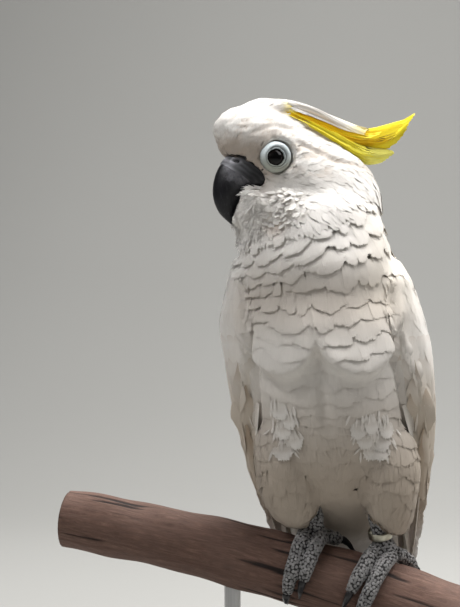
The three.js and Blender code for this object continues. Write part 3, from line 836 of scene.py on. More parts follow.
# ---- feathers ----
# A feather's form, in mm or as shares: the lifts of its root and tip, and early, where along it
# the tip's lift is reached; how far its sides fall with the body; its curl, roll and cupping; its
# ragged and rounded end, narrow root and point; its thickness; the puff before its tip, with its
# peak and spread; and streak, how uneven its barbs are. Then its tints, where and how softly the
# tip's begins, how its brightness varies, a brightness factor that some feathers use for painted
# light and others for painted shade, and how far it is painted darker near its root, as shade.
FORM = dict(
    root_lift=-2.0, tip_lift=0.3, falls=(0, 0), curl=0.0, roll=0.0, cup=0.0, fringe=0.08,
    blunt=0.35, point=0.0, narrow=0.3, thick=0.3, puff=0.0, peak=0.82, spread=0.14, streak=0.0,
    tint=None, tip_tint=None, tint_from=0.6, fade=0.12, vary=0.03, shade=1.0, early=1.0, deep=0.0,
)
CREEP_STEPS = 9  # places along a feather that is laid on the body
SHORTEST = 3.5  # crept feathers that end up shorter are dropped
FALL_LIMITS = (-0.05, 0.012)
TRIANGLE_LIMIT = 190000  # for one joined mesh
UV_REACH = 0.0015  # half the size of a feather's patch in the skin's UV map
BARB_WIDTH = 24.0  # a vane's width is measured in this for the pattern of its barbs


class Plumage:
    """Feathers of one kind, gathered and then built as closed thin vanes in joined meshes."""

    def __init__(self, name, across=9, along=6, slot="feathers_white", soft=0.3):
        self.name, self.across, self.along, self.slot, self.soft = name, across, along, slot, soft
        self.paths, self.normals, self.rows, self.crept = [], [], [], []

    def creep(self, root, heading, length, width, row=None, over=0.0, bow=0.0, **form):
        """Lays one feather on the smooth body, to be raised by the relief when it is built. With
        a row, it ends where that row ends."""
        step = length / (CREEP_STEPS - 1)
        place, normal = on_base(Vector(root))
        way = Vector(heading)
        way = (way - normal * way.dot(normal)).normalized()
        path, normals = [tuple(place)], [tuple(normal)]
        for _ in range(CREEP_STEPS - 1):
            place, normal = on_base(place + way * step)
            way = (way - normal * way.dot(normal)).normalized()
            if bow:
                way = way + normal.cross(way) * (bow / CREEP_STEPS)
            path.append(tuple(place))
            normals.append(tuple(normal))
        if width > 6:
            middle, reach = CREEP_STEPS // 2, 0.4 * width
            centre, up = Vector(path[middle]), Vector(normals[middle])
            across = up.cross(Vector(path[middle + 1]) - Vector(path[middle - 1])).normalized()
            form["falls"] = [
                float(np.clip((on_base(centre + across * end * 0.4 * width)[0] - centre).dot(up)
                              / reach**2, *FALL_LIMITS)) for end in (-1, 1)
            ]
        self.crept.append((path, normals, row, over / length, length))
        self.add(np.zeros((self.along, 3)), np.ones((self.along, 3)), width, **form)

    def settle(self):
        """Cuts the crept feathers off at their rows' edges and drops the short ones."""
        paths, normals, given, over, length = zip(*self.crept)
        paths, normals = np.array(paths), np.array(normals)
        over, length = np.array(over), np.array(length)
        count, steps = paths.shape[:2]
        field = row_field(paths.reshape(-1, 3))
        free = np.array([row is None for row in given])
        rows = own_row(field).reshape(count, steps)[:, 0]
        rows = np.where(free, rows, [0 if row is None else row for row in given])
        past = field.passed - row_edge(np.repeat(rows, steps), field)[0]
        past = past.reshape(count, steps)
        ends = np.ones(count)
        for k in range(steps - 1, 0, -1):
            here = (past[:, k] > 0) & (past[:, k - 1] <= 0)
            part = past[:, k - 1] / (past[:, k - 1] - past[:, k] - 1e-9)
            ends = np.where(here, (k - 1 + np.clip(part, 0, 1)) / (steps - 1), ends)
        ends = np.where(past[:, 0] > 0, 0, ends)
        ends = np.where(free, 1, np.minimum(ends + over, 1))
        kept = free | (ends * length > SHORTEST)
        reach = 1.5 * field.measures[:, SPACING].reshape(count, steps)[:, 0] + 1
        starts = np.where(free, 0, np.maximum(0, ends - reach / length))[:, None]
        at = starts + np.linspace(0, 1, self.along)[None, :] * (ends[:, None] - starts)
        at = np.minimum(at * (steps - 1), steps - 1 - 1e-6)
        low = np.clip(at.astype(int), 0, steps - 2)
        part = (at - low)[..., None]
        pick = np.arange(count)[:, None]
        laid = paths[pick, low] * (1 - part) + paths[pick, low + 1] * part
        leant = normals[pick, low] * (1 - part) + normals[pick, low + 1] * part
        self.paths = [p for p, k in zip(laid, kept) if k]
        self.normals = [unit(n) for n, k in zip(leant, kept) if k]
        self.rows = [r for r, k in zip(self.rows, kept) if k]
        self.row_ids = rows[kept]

    def add(self, path, normals, width, **form):
        self.paths.append(np.asarray(path, float))
        self.normals.append(unit(normals))
        self.rows.append({**FORM, "width": width, **form})

    @staticmethod
    def rise(t, get):
        """Height over the path, along a feather: sunk at the root, puffed just before the tip."""
        lifted = np.clip(t / get("early"), 0, 1) ** 0.8
        height = get("root_lift") + (get("tip_lift") - get("root_lift")) * lifted
        height = height + get("puff") * hump(t, get("peak"), get("spread"))
        return height + get("curl") * t**3

    def barbs(self, name, per, width, share, over, lift=0.12):
        """Narrow barbs over the ends of these feathers, which soften their edges."""
        coat = Plumage(name, 3, 4, self.slot)
        for path, normals, row in zip(self.paths, self.normals, self.rows):
            span = len(path) - 1
            ways = unit(np.gradient(path, axis=0))
            sides = unit(np.cross(normals, ways))
            tint = plumage_colour_and_shade(path[span // 2])[0] if row["tint"] is None else row["tint"]
            for w in np.linspace(-0.92, 0.92, per) + RNG.uniform(-0.07, 0.07, per):
                end = 1 - row["blunt"] * abs(w) ** 2.4 + RNG.uniform(-0.09, over)
                t = np.linspace(end - share, end, coat.along)
                low = np.clip((t * span).astype(int), 0, span - 1)
                part = (t * span - low)[:, None]
                out = w * row["width"] / 2 * (1 + 0.10 * (t - 0.5) + RNG.normal(0, 0.02) * t)
                fall = row["falls"][0] if w < 0 else row["falls"][1]
                height = self.rise(t, row.get) + fall * out**2
                height = height - row["cup"] * w * w + row["roll"] * out
                normal = normals[low] * (1 - part) + normals[low + 1] * part
                side = sides[low] * (1 - part) + sides[low + 1] * part
                line = path[low] + (path[low + 1] - path[low]) * part
                line = line + side * out[:, None] + normal * height[:, None]
                coat.add(
                    line, normal, width * RNG.uniform(0.7, 1.2), root_lift=-0.3, puff=lift + 0.2,
                    peak=0.55, spread=0.3, tip_lift=-0.35 + RNG.uniform(-0.15, 0.15), cup=0.12,
                    fringe=0, blunt=0.25, point=0.75, narrow=0.5, thick=0.2, tint=tint, vary=0.02,
                    shade=row["shade"],
                )
        return coat

    def build(self, *replaced):
        """Makes the joined meshes, each under the size limit."""
        if self.crept:
            self.settle()
        nu, nv, count = self.across, self.along, len(self.paths)
        get = lambda key: np.array([row[key] for row in self.rows], float)[:, None, None]
        paths, normals = np.array(self.paths), np.array(self.normals)
        ways = unit(np.gradient(paths, axis=1))
        sides = unit(np.cross(normals, ways))
        normals = unit(np.cross(ways, sides))
        w = np.linspace(-1, 1, nu)
        s = np.linspace(0, 1, nv) ** 0.85

        # How far along its feather each vertex lies: rounded to the sides, ragged at the end.
        notched = (np.arange(nu) % 2) == 1
        cut, whole = RNG.uniform(0.45, 1, (count, nu)), RNG.uniform(0, 0.35, (count, nu))
        ragged = np.where(notched, cut, whole)
        reach = s[None, :, None] * (1 - get("blunt") * (np.abs(w) ** 2.4)[None, None, :])
        reach = reach - get("fringe") * ragged[:, None, :] * (s**8)[None, :, None]
        spot = np.clip(reach, 0, 1) * (nv - 1)
        low = np.clip(spot.astype(int), 0, nv - 2)
        part = (spot - low)[..., None]
        pick = np.arange(count)[:, None, None]
        along = lambda a: a[pick, low] * (1 - part) + a[pick, low + 1] * part
        t = spot / (nv - 1)

        profile = get("narrow") + (1 - get("narrow")) * smooth(0, 0.5, t)
        profile = profile * (1 - get("point") * t**3)
        out = w[None, None, :] * profile * get("width") / 2
        falls = np.array([row["falls"] for row in self.rows], float)
        fall = np.where(w[None, :] < 0, falls[:, :1], falls[:, 1:])[:, None, :]
        height = self.rise(t, get) + fall * out**2 - get("cup") * (w**2)[None, None, :]
        height = height + get("roll") * out
        height = height + RNG.normal(0, 1, (count, 1, nu)) * get("streak") * t**2
        flat = along(paths) + along(sides) * out[..., None]
        if self.crept:
            rows = np.repeat(self.row_ids, nu * nv)
            height = height + soft_relief(flat.reshape(-1, 3), rows).reshape(height.shape)
        top = flat + along(normals) * height[..., None]

        # Crept vanes are shaded much like the plumage that they lie in.
        shading = np.cross(np.gradient(top, axis=1), np.gradient(top, axis=2))
        shading = unit(shading + 1e-9 * along(normals))
        if self.crept:
            wide = np.ones((1, nv, 1)) * w[None, None, :] * get("width") * 0.45
            ground = paths[:, :, None] + sides[:, :, None] * wide[..., None]
            rows = np.repeat(self.row_ids, nu * nv)
            lifts = soft_relief(ground.reshape(-1, 3), rows).reshape(wide.shape) + fall * wide**2
            ground = ground + normals[:, :, None] * lifts[..., None]
            slopes = unit(np.cross(np.gradient(ground, axis=1), np.gradient(ground, axis=2)))
            columns = np.arange(nu)[None, None, :]
            slopes = slopes[pick, low, columns] * (1 - part) + slopes[pick, low + 1, columns] * part
            shading = unit(shading * (1 - self.soft) + slopes * self.soft)
        else:
            turned_down = along(normals) + along(sides) * (-2 * fall * out)[..., None]
            shading = unit(shading * (1 - self.soft) + unit(turned_down) * self.soft)

        # The underside is a middle line that shares the vane's edges.
        thick = get("thick")[:, 0] * (1 - 0.7 * s[None, :-1])
        middle = nu // 2
        for i in range(1, nu - 1):
            share = abs(w[i])
            if i != middle:
                side = height[:, :-1, 0 if i < middle else -1]
                deepest = (height[:, :-1, i] - share * side) / (1 - share) - 0.04 / (1 - share)
                thick = np.maximum(thick, np.minimum(height[:, :-1, middle] - deepest, 1.5))
        under = top[:, :-1, middle] - along(normals)[:, :-1, middle] * thick[..., None]
        verts = np.concatenate([top.reshape(count, -1, 3), under], axis=1)

        faces = []
        idx = lambda i, j: j * nu + i
        low_idx = lambda j: nu * nv + j
        for j in range(nv - 1):
            for i in range(nu - 1):
                faces.append((idx(i, j), idx(i, j + 1), idx(i + 1, j + 1), idx(i + 1, j)))
        for j in range(nv - 2):
            faces.append((idx(0, j), low_idx(j), low_idx(j + 1), idx(0, j + 1)))
            faces.append((low_idx(j), idx(nu - 1, j), idx(nu - 1, j + 1), low_idx(j + 1)))
        last = low_idx(nv - 2)
        rim = [idx(0, nv - 2)] + [idx(i, nv - 1) for i in range(nu)] + [idx(nu - 1, nv - 2)]
        triangles = [(last, b, a) for a, b in zip(rim, rim[1:])]
        triangles += [(low_idx(0), idx(i, 0), idx(i + 1, 0)) for i in range(nu - 1)]

        plain = np.array([row["tint"] is None for row in self.rows])
        tint = np.array([WHITE if row["tint"] is None else row["tint"] for row in self.rows])
        if plain.any():
            tint[plain] = plumage_colour_and_shade(paths[plain, nv // 3])
        tip = np.array([tint[i] if row["tip_tint"] is None else row["tip_tint"]
                        for i, row in enumerate(self.rows)])
        if plain.any():
            tip[plain] = plumage_colour_and_shade(paths[plain, nv - 1])
        vary = get("shade")[:, 0] * (1 + RNG.normal(0, 1, (count, 1)) * get("vary")[:, 0])
        to_tip = smooth(0, 1, (t - get("tint_from")) / get("fade") + 0.5)[..., None]
        even = np.clip(1.5 * t[..., None] - 0.5, 0, 1)
        to_tip = np.where(plain[:, None, None, None], even, to_tip)
        colours = tint[:, None, None, :] * (1 - to_tip) + tip[:, None, None, :] * to_tip
        # Painted shade: a feather darkens towards a warm shade near its root.
        deep = get("deep")[..., None] * smooth(0.55, 0.1, t)[..., None]
        colours = colours * vary[:, None, None, :] * (1 - deep * (1 - WARM_SHADE))
        colours = np.clip(colours, 0, 1)
        beneath = colours[:, :-1, middle] * 0.97
        colours = np.concatenate([colours.reshape(count, -1, 3), beneath], axis=1)

        vane_w = np.concatenate([np.tile(w, (nv, 1)).ravel(), np.zeros(nv - 1)])
        vane_s = np.concatenate([t.reshape(count, -1), t[:, :-1, middle]], axis=1)
        seed = RNG.uniform(0, 50, count)
        broad = np.array([row["width"] for row in self.rows]) / BARB_WIDTH

        # Each feather takes a small patch of the skin's UV map at its root.
        roots = np.array([SKIN_UV[SKIN.find_nearest(Vector(p))[2]] for p in paths[:, 0]])
        patch = np.stack([np.tile(vane_w, (count, 1)), 2 * vane_s - 1], axis=-1)
        uv = roots[:, None, :] + UV_REACH * patch
        uv = np.clip(uv, 0.001, 0.999)

        per_feather = len(faces) * 2 + len(triangles)
        limit = max(1, TRIANGLE_LIMIT // per_feather)
        for k, start in enumerate(range(0, count, limit)):
            stop = min(start + limit, count)
            n, per = stop - start, verts.shape[1]
            name = self.name if count <= limit else f"{self.name}_{k + 1}"
            shift = (np.arange(n) * per)[:, None, None]
            quads = (np.array(faces)[None] + shift).reshape(-1, 4)
            tris = (np.array(triangles)[None] + shift).reshape(-1, 3)
            above = np.tile(np.arange(len(faces)) < (nu - 1) * (nv - 1), n)
            lit = shading[start:stop].reshape(n, -1, 3)
            lit = np.concatenate([lit, np.zeros((n, nv - 1, 3))], axis=1)
            obj = joined_mesh(name, verts[start:stop].reshape(-1, 3), quads, tris, above,
                              lit.reshape(-1, 3))
            set_tint(obj, colours[start:stop].reshape(-1, 3))
            vane = np.stack([vane_w[None] * broad[start:stop, None], vane_s[start:stop],
                             np.repeat(seed[start:stop, None], per, axis=1)], axis=-1)
            set_values(obj, "vane", vane)
            corner = np.empty(len(obj.data.loops), int)
            obj.data.loops.foreach_get("vertex_index", corner)
            flat = uv[start:stop].reshape(-1, 2)[corner]
            obj.data.uv_layers.new(name="OFBake").data.foreach_set("uv", flat.ravel())
            finished(obj, FEATHER, self.slot, *(replaced if k == 0 else ()))


def joined_mesh(name, verts, quads, tris, above, lit):
    """One mesh of quads and triangles, where only the quads marked above are shaded smooth, with
    the normals in lit, so that the thin edges don't round the vanes off."""
    mesh = bpy.data.meshes.new(name)
    mesh.vertices.add(len(verts))
    mesh.vertices.foreach_set("co", (verts * MM).ravel())
    loops = np.concatenate([quads.ravel(), tris.ravel()])
    mesh.loops.add(len(loops))
    mesh.loops.foreach_set("vertex_index", loops)
    starts = np.concatenate([np.arange(len(quads)) * 4, len(quads) * 4 + np.arange(len(tris)) * 3])
    mesh.polygons.add(len(starts))
    mesh.polygons.foreach_set("loop_start", starts)
    mesh.polygons.foreach_set("use_smooth", np.concatenate([above, np.zeros(len(tris), bool)]))
    mesh.update(calc_edges=True)
    corners = np.zeros((len(loops), 3))
    upper = np.repeat(above, 4)
    corners[: len(upper)][upper] = lit[quads.ravel()[upper]]
    mesh.normals_split_custom_set(corners)
    return linked(name, mesh)


def clump(point, scale, seed=0.0):
    """Smooth noise from -1 to 1, so that neighbouring feathers lie alike."""
    return noise.noise(Vector(np.asarray(point) / scale + seed))


def turned(way, normal, angle):
    """A way turned about a normal."""
    way, normal = Vector(way), Vector(normal)
    across = normal.cross(way)
    return way * math.cos(angle) + across * math.sin(angle)


NEIGHBOURS = [(i, j, k) for i in (-1, 0, 1) for j in (-1, 0, 1) for k in (-1, 0, 1)]


def scattered(spacing_at, tries, inside):
    """Places over the plumage where inside(points) is true, at least a spacing apart, which is a
    number or a function of the points."""
    corners = outer_verts[outer_faces]
    diagonals = corners[:, 2] - corners[:, 0], corners[:, 3] - corners[:, 1]
    areas = np.linalg.norm(np.cross(*diagonals), axis=1)
    areas[~inside(corners.mean(axis=1))] = 0
    quad = corners[RNG.choice(len(areas), tries, p=areas / areas.sum())]
    a, b = RNG.uniform(0, 1, (2, tries, 1))
    low = quad[:, 0] * (1 - a) + quad[:, 1] * a
    points = low * (1 - b) + (quad[:, 3] * (1 - a) + quad[:, 2] * a) * b
    points = points[inside(points)]
    spacing = spacing_at(points) if callable(spacing_at) else np.full(len(points), spacing_at)
    cell = float(spacing.max())
    grid, kept = {}, []
    for point, gap in zip(points.tolist(), spacing.tolist()):
        x, y, z = point
        key = (int(x // cell), int(y // cell), int(z // cell))
        near = (q for i, j, k in NEIGHBOURS
                for q in grid.get((key[0] + i, key[1] + j, key[2] + k), ()))
        if all((u - x) ** 2 + (v - y) ** 2 + (w - z) ** 2 >= gap * gap for u, v, w in near):
            grid.setdefault(key, []).append(point)
            kept.append(point)
    return np.array(kept)


def body_coat():
    """Neck, breast, belly, back and thighs: fine soft vanes that lie in the rows' relief."""
    widths = {"neck": 5.4, "breast": 6.6, "belly": 6.4, "shanks": 5.6}
    coats = {name: Plumage(f"plumage_{name}", 9, 7, soft=0.8) for name in widths}

    def inside(points):
        return row_field(points).level < HEAD_LEVEL + 2

    def spacing(points):
        heights = points[:, 2] - PERCH_TOP
        return np.interp(heights, [0, 60, 90, 140, 175], [2.7, 2.8, 2.8, 2.7, 2.5])

    places = scattered(spacing, 70000, inside)
    field = row_field(places)
    rows = own_row(field)
    rows = rows + (in_row(rows, field)[0] > 0.3)
    beside = field.beside + 0.5 * rows
    fan = beside - np.round(beside)
    heights = places[:, 2] - PERCH_TOP
    arounds = unit(np.stack([
        -(places[:, 1] - AXIS_Y(heights)[:, 0]), places[:, 0] - LEAN(heights)[:, 0], 0 * heights
    ], axis=1))
    outs = wing_seam(places)[0]
    for p, level, row, side, gap, around, out in zip(
        places, field.level, rows, fan, field.measures[:, SPACING], arounds, outs
    ):
        node = node_at(p)
        if node.startswith(("tail", "crest")) or near_bill(p):
            continue
        if node.startswith("wing") and out > 6:
            continue
        spread = around * side * 0.55 * float(smooth(60, 90, level))
        way = -UP - float(row_tilt(level)) * FORWARD + spread
        angle = math.radians(9) * clump(p, 16, 9.0) + RNG.normal(0, 0.06)
        way = turned(way, on_base(Vector(p))[1], angle)
        name = "neck" if level > 150 else "breast" if level > 62 else "belly"
        name = "shanks" if node.startswith("thigh") else name
        coats[name].creep(
            p, way, gap * RNG.uniform(1.6, 2.2), widths[name] * RNG.uniform(0.8, 1.2), row=row,
            over=RNG.uniform(-0.4, 0.8), bow=RNG.normal(0, 0.05), root_lift=-0.5, early=0.3,
            tip_lift=0.05 + RNG.normal(0, 0.02), cup=0.04, fringe=0.15, blunt=0.08,
            point=0.1, narrow=0.85, thick=0.5, vary=0.01,
        )
    for coat in coats.values():
        coat.build()


# ---- head ----
HEAD_MIDDLE = head_point(-14, 0, -8)
BILL_WAY = unit(FORWARD * 1.0 - UP * 0.35)


def near_bill(point):
    """True where the bill and its bare skin come out of the plumage."""
    f, l, u = in_head(point)
    over = f > 17 - 0.35 * (u + 6) and abs(l) < 13.5 and -26 < u < 0.9
    return bool(over and f + 0.55 * u < 24.0 and f - 0.1 * u > 15)


def head_way(p):
    """The lie of the head's feathers: back from the bill, parted round the eye, down at the nape."""
    f, l, u = in_head(p)
    aim_way = unit(p - HEAD_MIDDLE)
    way = unit(-BILL_WAY + aim_way * (BILL_WAY @ aim_way))
    eye = math.hypot(f, u)
    if eye < 24 and abs(l) > 10:
        parted = (0.9 if f < 6 else 0.45) * float(smooth(24, 10, eye))
        way = way + unit(FORWARD * f + UP * u) * parted
    down = float(smooth(236, 206, row_field(p[None]).level[0])) * 0.85
    way = unit(way) * (1 - down) + unit(-UP - ROW_TILT * FORWARD) * down
    return Vector(way).normalized()


def head_feathers():
    """Fine feathers over face, brow, crown, ears and nape, which grow longer to the back."""
    face = Plumage("plumage_face", 3, 5, soft=0.5)
    crown = Plumage("plumage_crown", 3, 5, soft=0.5)
    hind = Plumage("plumage_hindhead", 3, 6, soft=0.5)

    def inside(points):
        f, l, u = in_head(points)
        clear_of_eye = (np.hypot(f - 1.2, u + 0.3) > 8.0) | (np.abs(l) < 12)
        free_hood = (f < -8) & (u > np.interp(f, *CREST_LINE))
        high = (row_field(points).level > HEAD_LEVEL - 2) & (points[:, 2] > PERCH_TOP + 176)
        return high & clear_of_eye & ~free_hood

    def grade(points):
        """0 on the face, 1 on the crown and cheeks, 2 at the back of the head."""
        f, _, u = in_head(points)
        back = smooth(0, -26, f) * smooth(26, 12, u) + smooth(8, -20, f) * smooth(12, 26, u)
        rear = smooth(232, 206, row_field(points).level) * smooth(4, -16, f)
        rear = smooth(-34, -60, f) + rear
        return np.clip(back, 0, 1) + np.clip(rear, 0, 1)

    spacing = lambda points: np.interp(grade(points), [0, 1, 2], [1.2, 1.65, 1.75])
    for p in scattered(spacing, 110000, inside):
        if near_bill(p):
            continue
        _, normal = on_base(Vector(p))
        level = float(grade(p[None])[0])
        length = float(np.interp(level, [0, 0.5, 1, 2], [5.0, 6.8, 9, 11.5])) * RNG.uniform(0.85, 1.15)
        width = float(np.interp(level, [0, 1, 2], [1.9, 2.9, 3.6])) * RNG.uniform(0.8, 1.2)
        way = turned(head_way(p), normal, math.radians(24) * clump(p, 8, 5.0) + RNG.normal(0, 0.12))
        coat = face if level < 0.6 else crown if level < 1.0 else hind
        lift = 0.02 + (0.25 + 0.2 * level) * max(0, clump(p, 3.6, 3.0)) + RNG.uniform(0, 0.08)
        f, _, u = in_head(p)
        beside_eye = float(smooth(13, 9, math.hypot(f - 1.2, u + 0.3)))
        coat.creep(
            p, way, length, width, bow=0.5 * clump(p, 11, 8.0), early=0.4,
            root_lift=lerp(-0.45, -0.05, beside_eye), tip_lift=lift, cup=0.03, fringe=0.1,
            blunt=0.3, point=0.4, thick=0.25, narrow=0.6, vary=0.015,
        )
    for coat in (face, crown, hind):
        coat.build()


def tuft(coat, centre, way, count, reach, length, width, lift, fan, **more):
    """A clump of locks that share a lie and fan out from it."""
    place, normal, _, _ = OUTER.find_nearest(Vector(centre))
    side = normal.cross(Vector(way)).normalized()
    ahead = side.cross(normal)
    form = dict(cup=0.15, fringe=0.1, blunt=0.3, point=0.5, narrow=0.5, thick=0.3, **more)
    for _ in range(count):
        a, r = RNG.uniform(0, 2 * math.pi), reach * math.sqrt(RNG.uniform(0, 1))
        across = r * math.cos(a)
        root = place + side * across + ahead * (r * math.sin(a))
        lie = turned(way, normal, fan * across / reach + RNG.normal(0, 0.18))
        size = RNG.uniform(0.75, 1.2)
        coat.creep(
            root, lie, length * size, width * RNG.uniform(0.7, 1.25), bow=RNG.normal(0, 0.4),
            root_lift=-1.4, tip_lift=lift * RNG.uniform(0.4, 1.2), roll=RNG.normal(0, 0.1), **form,
        )


def cheek_tufts():
    """Small curled feathers over the jaw, lobes that flare forward over the bill, and a chin of
    hanging locks."""
    petals = Plumage("plumage_cheek", 5, 6, soft=0.35)
    lobes = Plumage("plumage_chin", 3, 6, soft=0.5)

    def inside(points):
        f, _, u = in_head(points)
        top = -18.5 - 0.45 * np.maximum(f, 0)
        bottom = np.interp(f, [-13, 0, 12, 16, 26], [-30, -38, -39, -47, -47])
        return (f > -13) & (f < 27) & (u < top) & (u > bottom)

    for p in scattered(1.9, 12000, inside):
        f, _, u = in_head(p)
        if f > 9 + RNG.normal(0, 2):
            continue
        way = Vector(FORWARD * lerp(-0.35, 0.35, float(smooth(-10, 8, f))) - UP).normalized()
        lump = clump(p, 4.2, 6.0)
        angle = 1.6 * clump(p, 5.0, 1.0) + RNG.normal(0, 0.45)
        high = float(smooth(-13, -6, f)) * float(smooth(-41, -34, u))
        # Tinted a little brighter than white, as painted light on the cheek.
        petals.creep(
            p, turned(way, on_base(Vector(p))[1], angle), RNG.uniform(5.0, 7.0),
            RNG.uniform(2.6, 4.4), bow=RNG.normal(0, 0.8), root_lift=-1.2,
            tip_lift=0.3 + high * (1.8 + 2.6 * max(-0.4, lump)), curl=high * RNG.uniform(-1.0, 2.2),
            roll=RNG.normal(0, 0.2), cup=0.5, fringe=0.1, blunt=0.25, narrow=0.4, thick=0.3,
            tint=WHITE, vary=0.02, shade=1.02,
        )
    for side in (-1, 1):
        for k in range(9):
            t = k / 8
            root = head_point(lerp(9.5, 13.5, t), side * 17, lerp(-15.5, -32, t))
            place, normal = on_base(Vector(root))
            way = Vector(FORWARD + UP * lerp(0.05, -0.5, t)).normalized()
            # The lobes are a little brighter than white, as painted light.
            tuft(
                lobes, place, turned(way, normal, 0.15 * (k % 3 - 1)), 22, 2.6, lerp(11, 10, t), 1.6,
                RNG.uniform(1.8, 3.2), 0.55, curl=RNG.uniform(0, 1.5), puff=0.6, vary=0.02,
                shade=1.03, tint=WHITE,
            )
    for p in scattered(4.4, 4000, inside):
        f, _, u = in_head(p)
        if f < 4:
            continue
        place, normal, _, _ = OUTER.find_nearest(Vector(p))
        hang = float(smooth(-30, -42, u))
        way = FORWARD * lerp(1.0, -0.15, hang) - UP * lerp(0.4, 1.0, hang)
        way = turned(Vector(way).normalized(), normal, 0.7 * clump(p, 6, 6.0))
        lift = RNG.uniform(0.8, 2.2) - 1.4 * float(smooth(13, 20, f))
        # Hanging chin locks are painted darker, as shade.
        tuft(
            lobes, place, way, 20, 2.4, 8.5, 1.7, lift, 0.75,
            curl=RNG.uniform(-0.6, 1.2) * (1 - hang), puff=0.7, vary=0.02,
            shade=lerp(1.0, 0.9, hang),
        )
    petals.build()
    lobes.build()


def loose_tufts():
    """Ragged tufts on the flanks, and down on the thighs and the belly."""
    broad = Plumage("plumage_tufts", 17, 7, soft=0.7)
    fine = Plumage("plumage_tuft_barbs", 3, 5, soft=0.6)
    # Across, height and lean of each tuft.
    left = ((-34, 92, 0.1), (-28, 87, 0.1), (-34, 81, 0), (-28, 76, 0.1), (-32, 69, 0))
    right = ((14, 83, -0.15), (21, 86, 0), (28, 83, 0.1), (16, 76, -0.1), (25, 76, 0.1),
             (20, 70, 0), (27, 70, 0))

    def hit(x, height):
        return BASE.ray_cast(Vector((x, -150, PERCH_TOP + height)), Vector((0, 1, 0)))[:2]

    for x, h, spread in left + right:
        place, normal = hit(x + RNG.normal(0, 1), h)
        way = turned(-UP, normal, spread + RNG.normal(0, 0.08))
        # The tufts take less of the plumage's painted shade than the coat round them, and lighter
        # tips, as painted light where they stand out.
        own = plumage_colour_and_shade(place)[0]
        tint = lerp(own, WHITE, 0.4)
        broad.creep(
            place, way, RNG.uniform(14, 17), RNG.uniform(10, 13), root_lift=-1.2, tip_lift=1.1,
            early=0.8, cup=0.45, fringe=0.22, blunt=0.3, narrow=0.5, thick=0.4, puff=0.5, peak=0.7,
            spread=0.3, tint=lerp(tint, own, 0.4), tip_tint=lerp(tint, WHITE, 0.35), vary=0.01,
        )
        for _ in range(16):
            q, z = np.clip(RNG.normal(0, 3.4), -6, 6), RNG.uniform(-10, 1)
            place, normal = hit(x - z * spread + q, h + z)
            way = turned(-UP, normal, spread + 0.06 * q + RNG.normal(0, 0.12))
            fine.creep(
                place, way, RNG.uniform(4.5, 7.5), RNG.uniform(1.2, 1.9), bow=RNG.normal(0, 0.3),
                root_lift=0.2, tip_lift=RNG.uniform(0.7, 1.6), cup=0.1, fringe=0, blunt=0.4,
                point=0.5, narrow=0.5, thick=0.2, tint=lerp(tint, WHITE, 0.1), vary=0.02,
            )
    broad.build()
    fine.build()
    down = Plumage("plumage_down", 3, 5, soft=0.8)

    def inside(points):
        height = points[:, 2] - PERCH_TOP
        return (height > 4) & (height < 84) & (off_axis(points) < 48) & (points[:, 1] < 50)

    for p in scattered(5.5, 4000, inside):
        place, normal = on_base(Vector(p))
        if node_at(place).startswith(("wing", "tail")):
            continue
        way = turned(-UP, normal, 0.35 * clump(p, 10, 1.0) + RNG.normal(0, 0.14))
        down.creep(
            place, way, RNG.uniform(8, 14), RNG.uniform(1.2, 1.9), bow=RNG.normal(0, 0.3),
            root_lift=-0.6, tip_lift=0.15 + 0.4 * max(0, clump(p, 9, 2.5)), puff=0.2, cup=0.08,
            fringe=0, blunt=0.25, point=0.8, narrow=0.5, thick=0.15, vary=0.02,
        )
    down.build()


# ---- wings ----
def wing_hit(side, height, angle):
    """Where a level line meets the outer face of a wing."""
    axis = Vector((lean(height), float(WING_MIDDLE(height)[0, 0]), PERCH_TOP + height))
    way = Vector((side * math.cos(angle), math.sin(angle), 0))
    return BASE.ray_cast(axis + way * 150, -way)[:2]


def shoulder(side, label):
    """The shoulder's small smooth feathers, too fine to tell apart."""
    coat = Plumage(f"plumage_shoulder_{label}", 5, 6, soft=0.8)

    def inside(points):
        height = points[:, 2] - PERCH_TOP
        out = (points[:, 0] - LEAN(height)[:, 0]) * side
        return (height > 92) & (height < 186) & (out > 20) & (wing_seam(points)[0] > -2.5)

    for p in scattered(2.5, 16000, inside):
        if not node_at(p).startswith("wing"):
            continue
        _, normal = on_base(Vector(p))
        way = turned((0, 0.16, -1), normal, RNG.normal(0, 0.05) + 0.14 * clump(p, 18, 7.0))
        coat.creep(
            p, way, 15 * RNG.uniform(0.8, 1.2), 5.6 * RNG.uniform(0.8, 1.2), root_lift=-1.0,
            early=0.55, tip_lift=0.05 + 0.08 * max(0, clump(p, 7, 2.0)) + RNG.uniform(0, 0.05),
            cup=0.05, fringe=0.07, blunt=0.3, narrow=0.6, thick=0.45, vary=0.01,
        )
    coat.build()


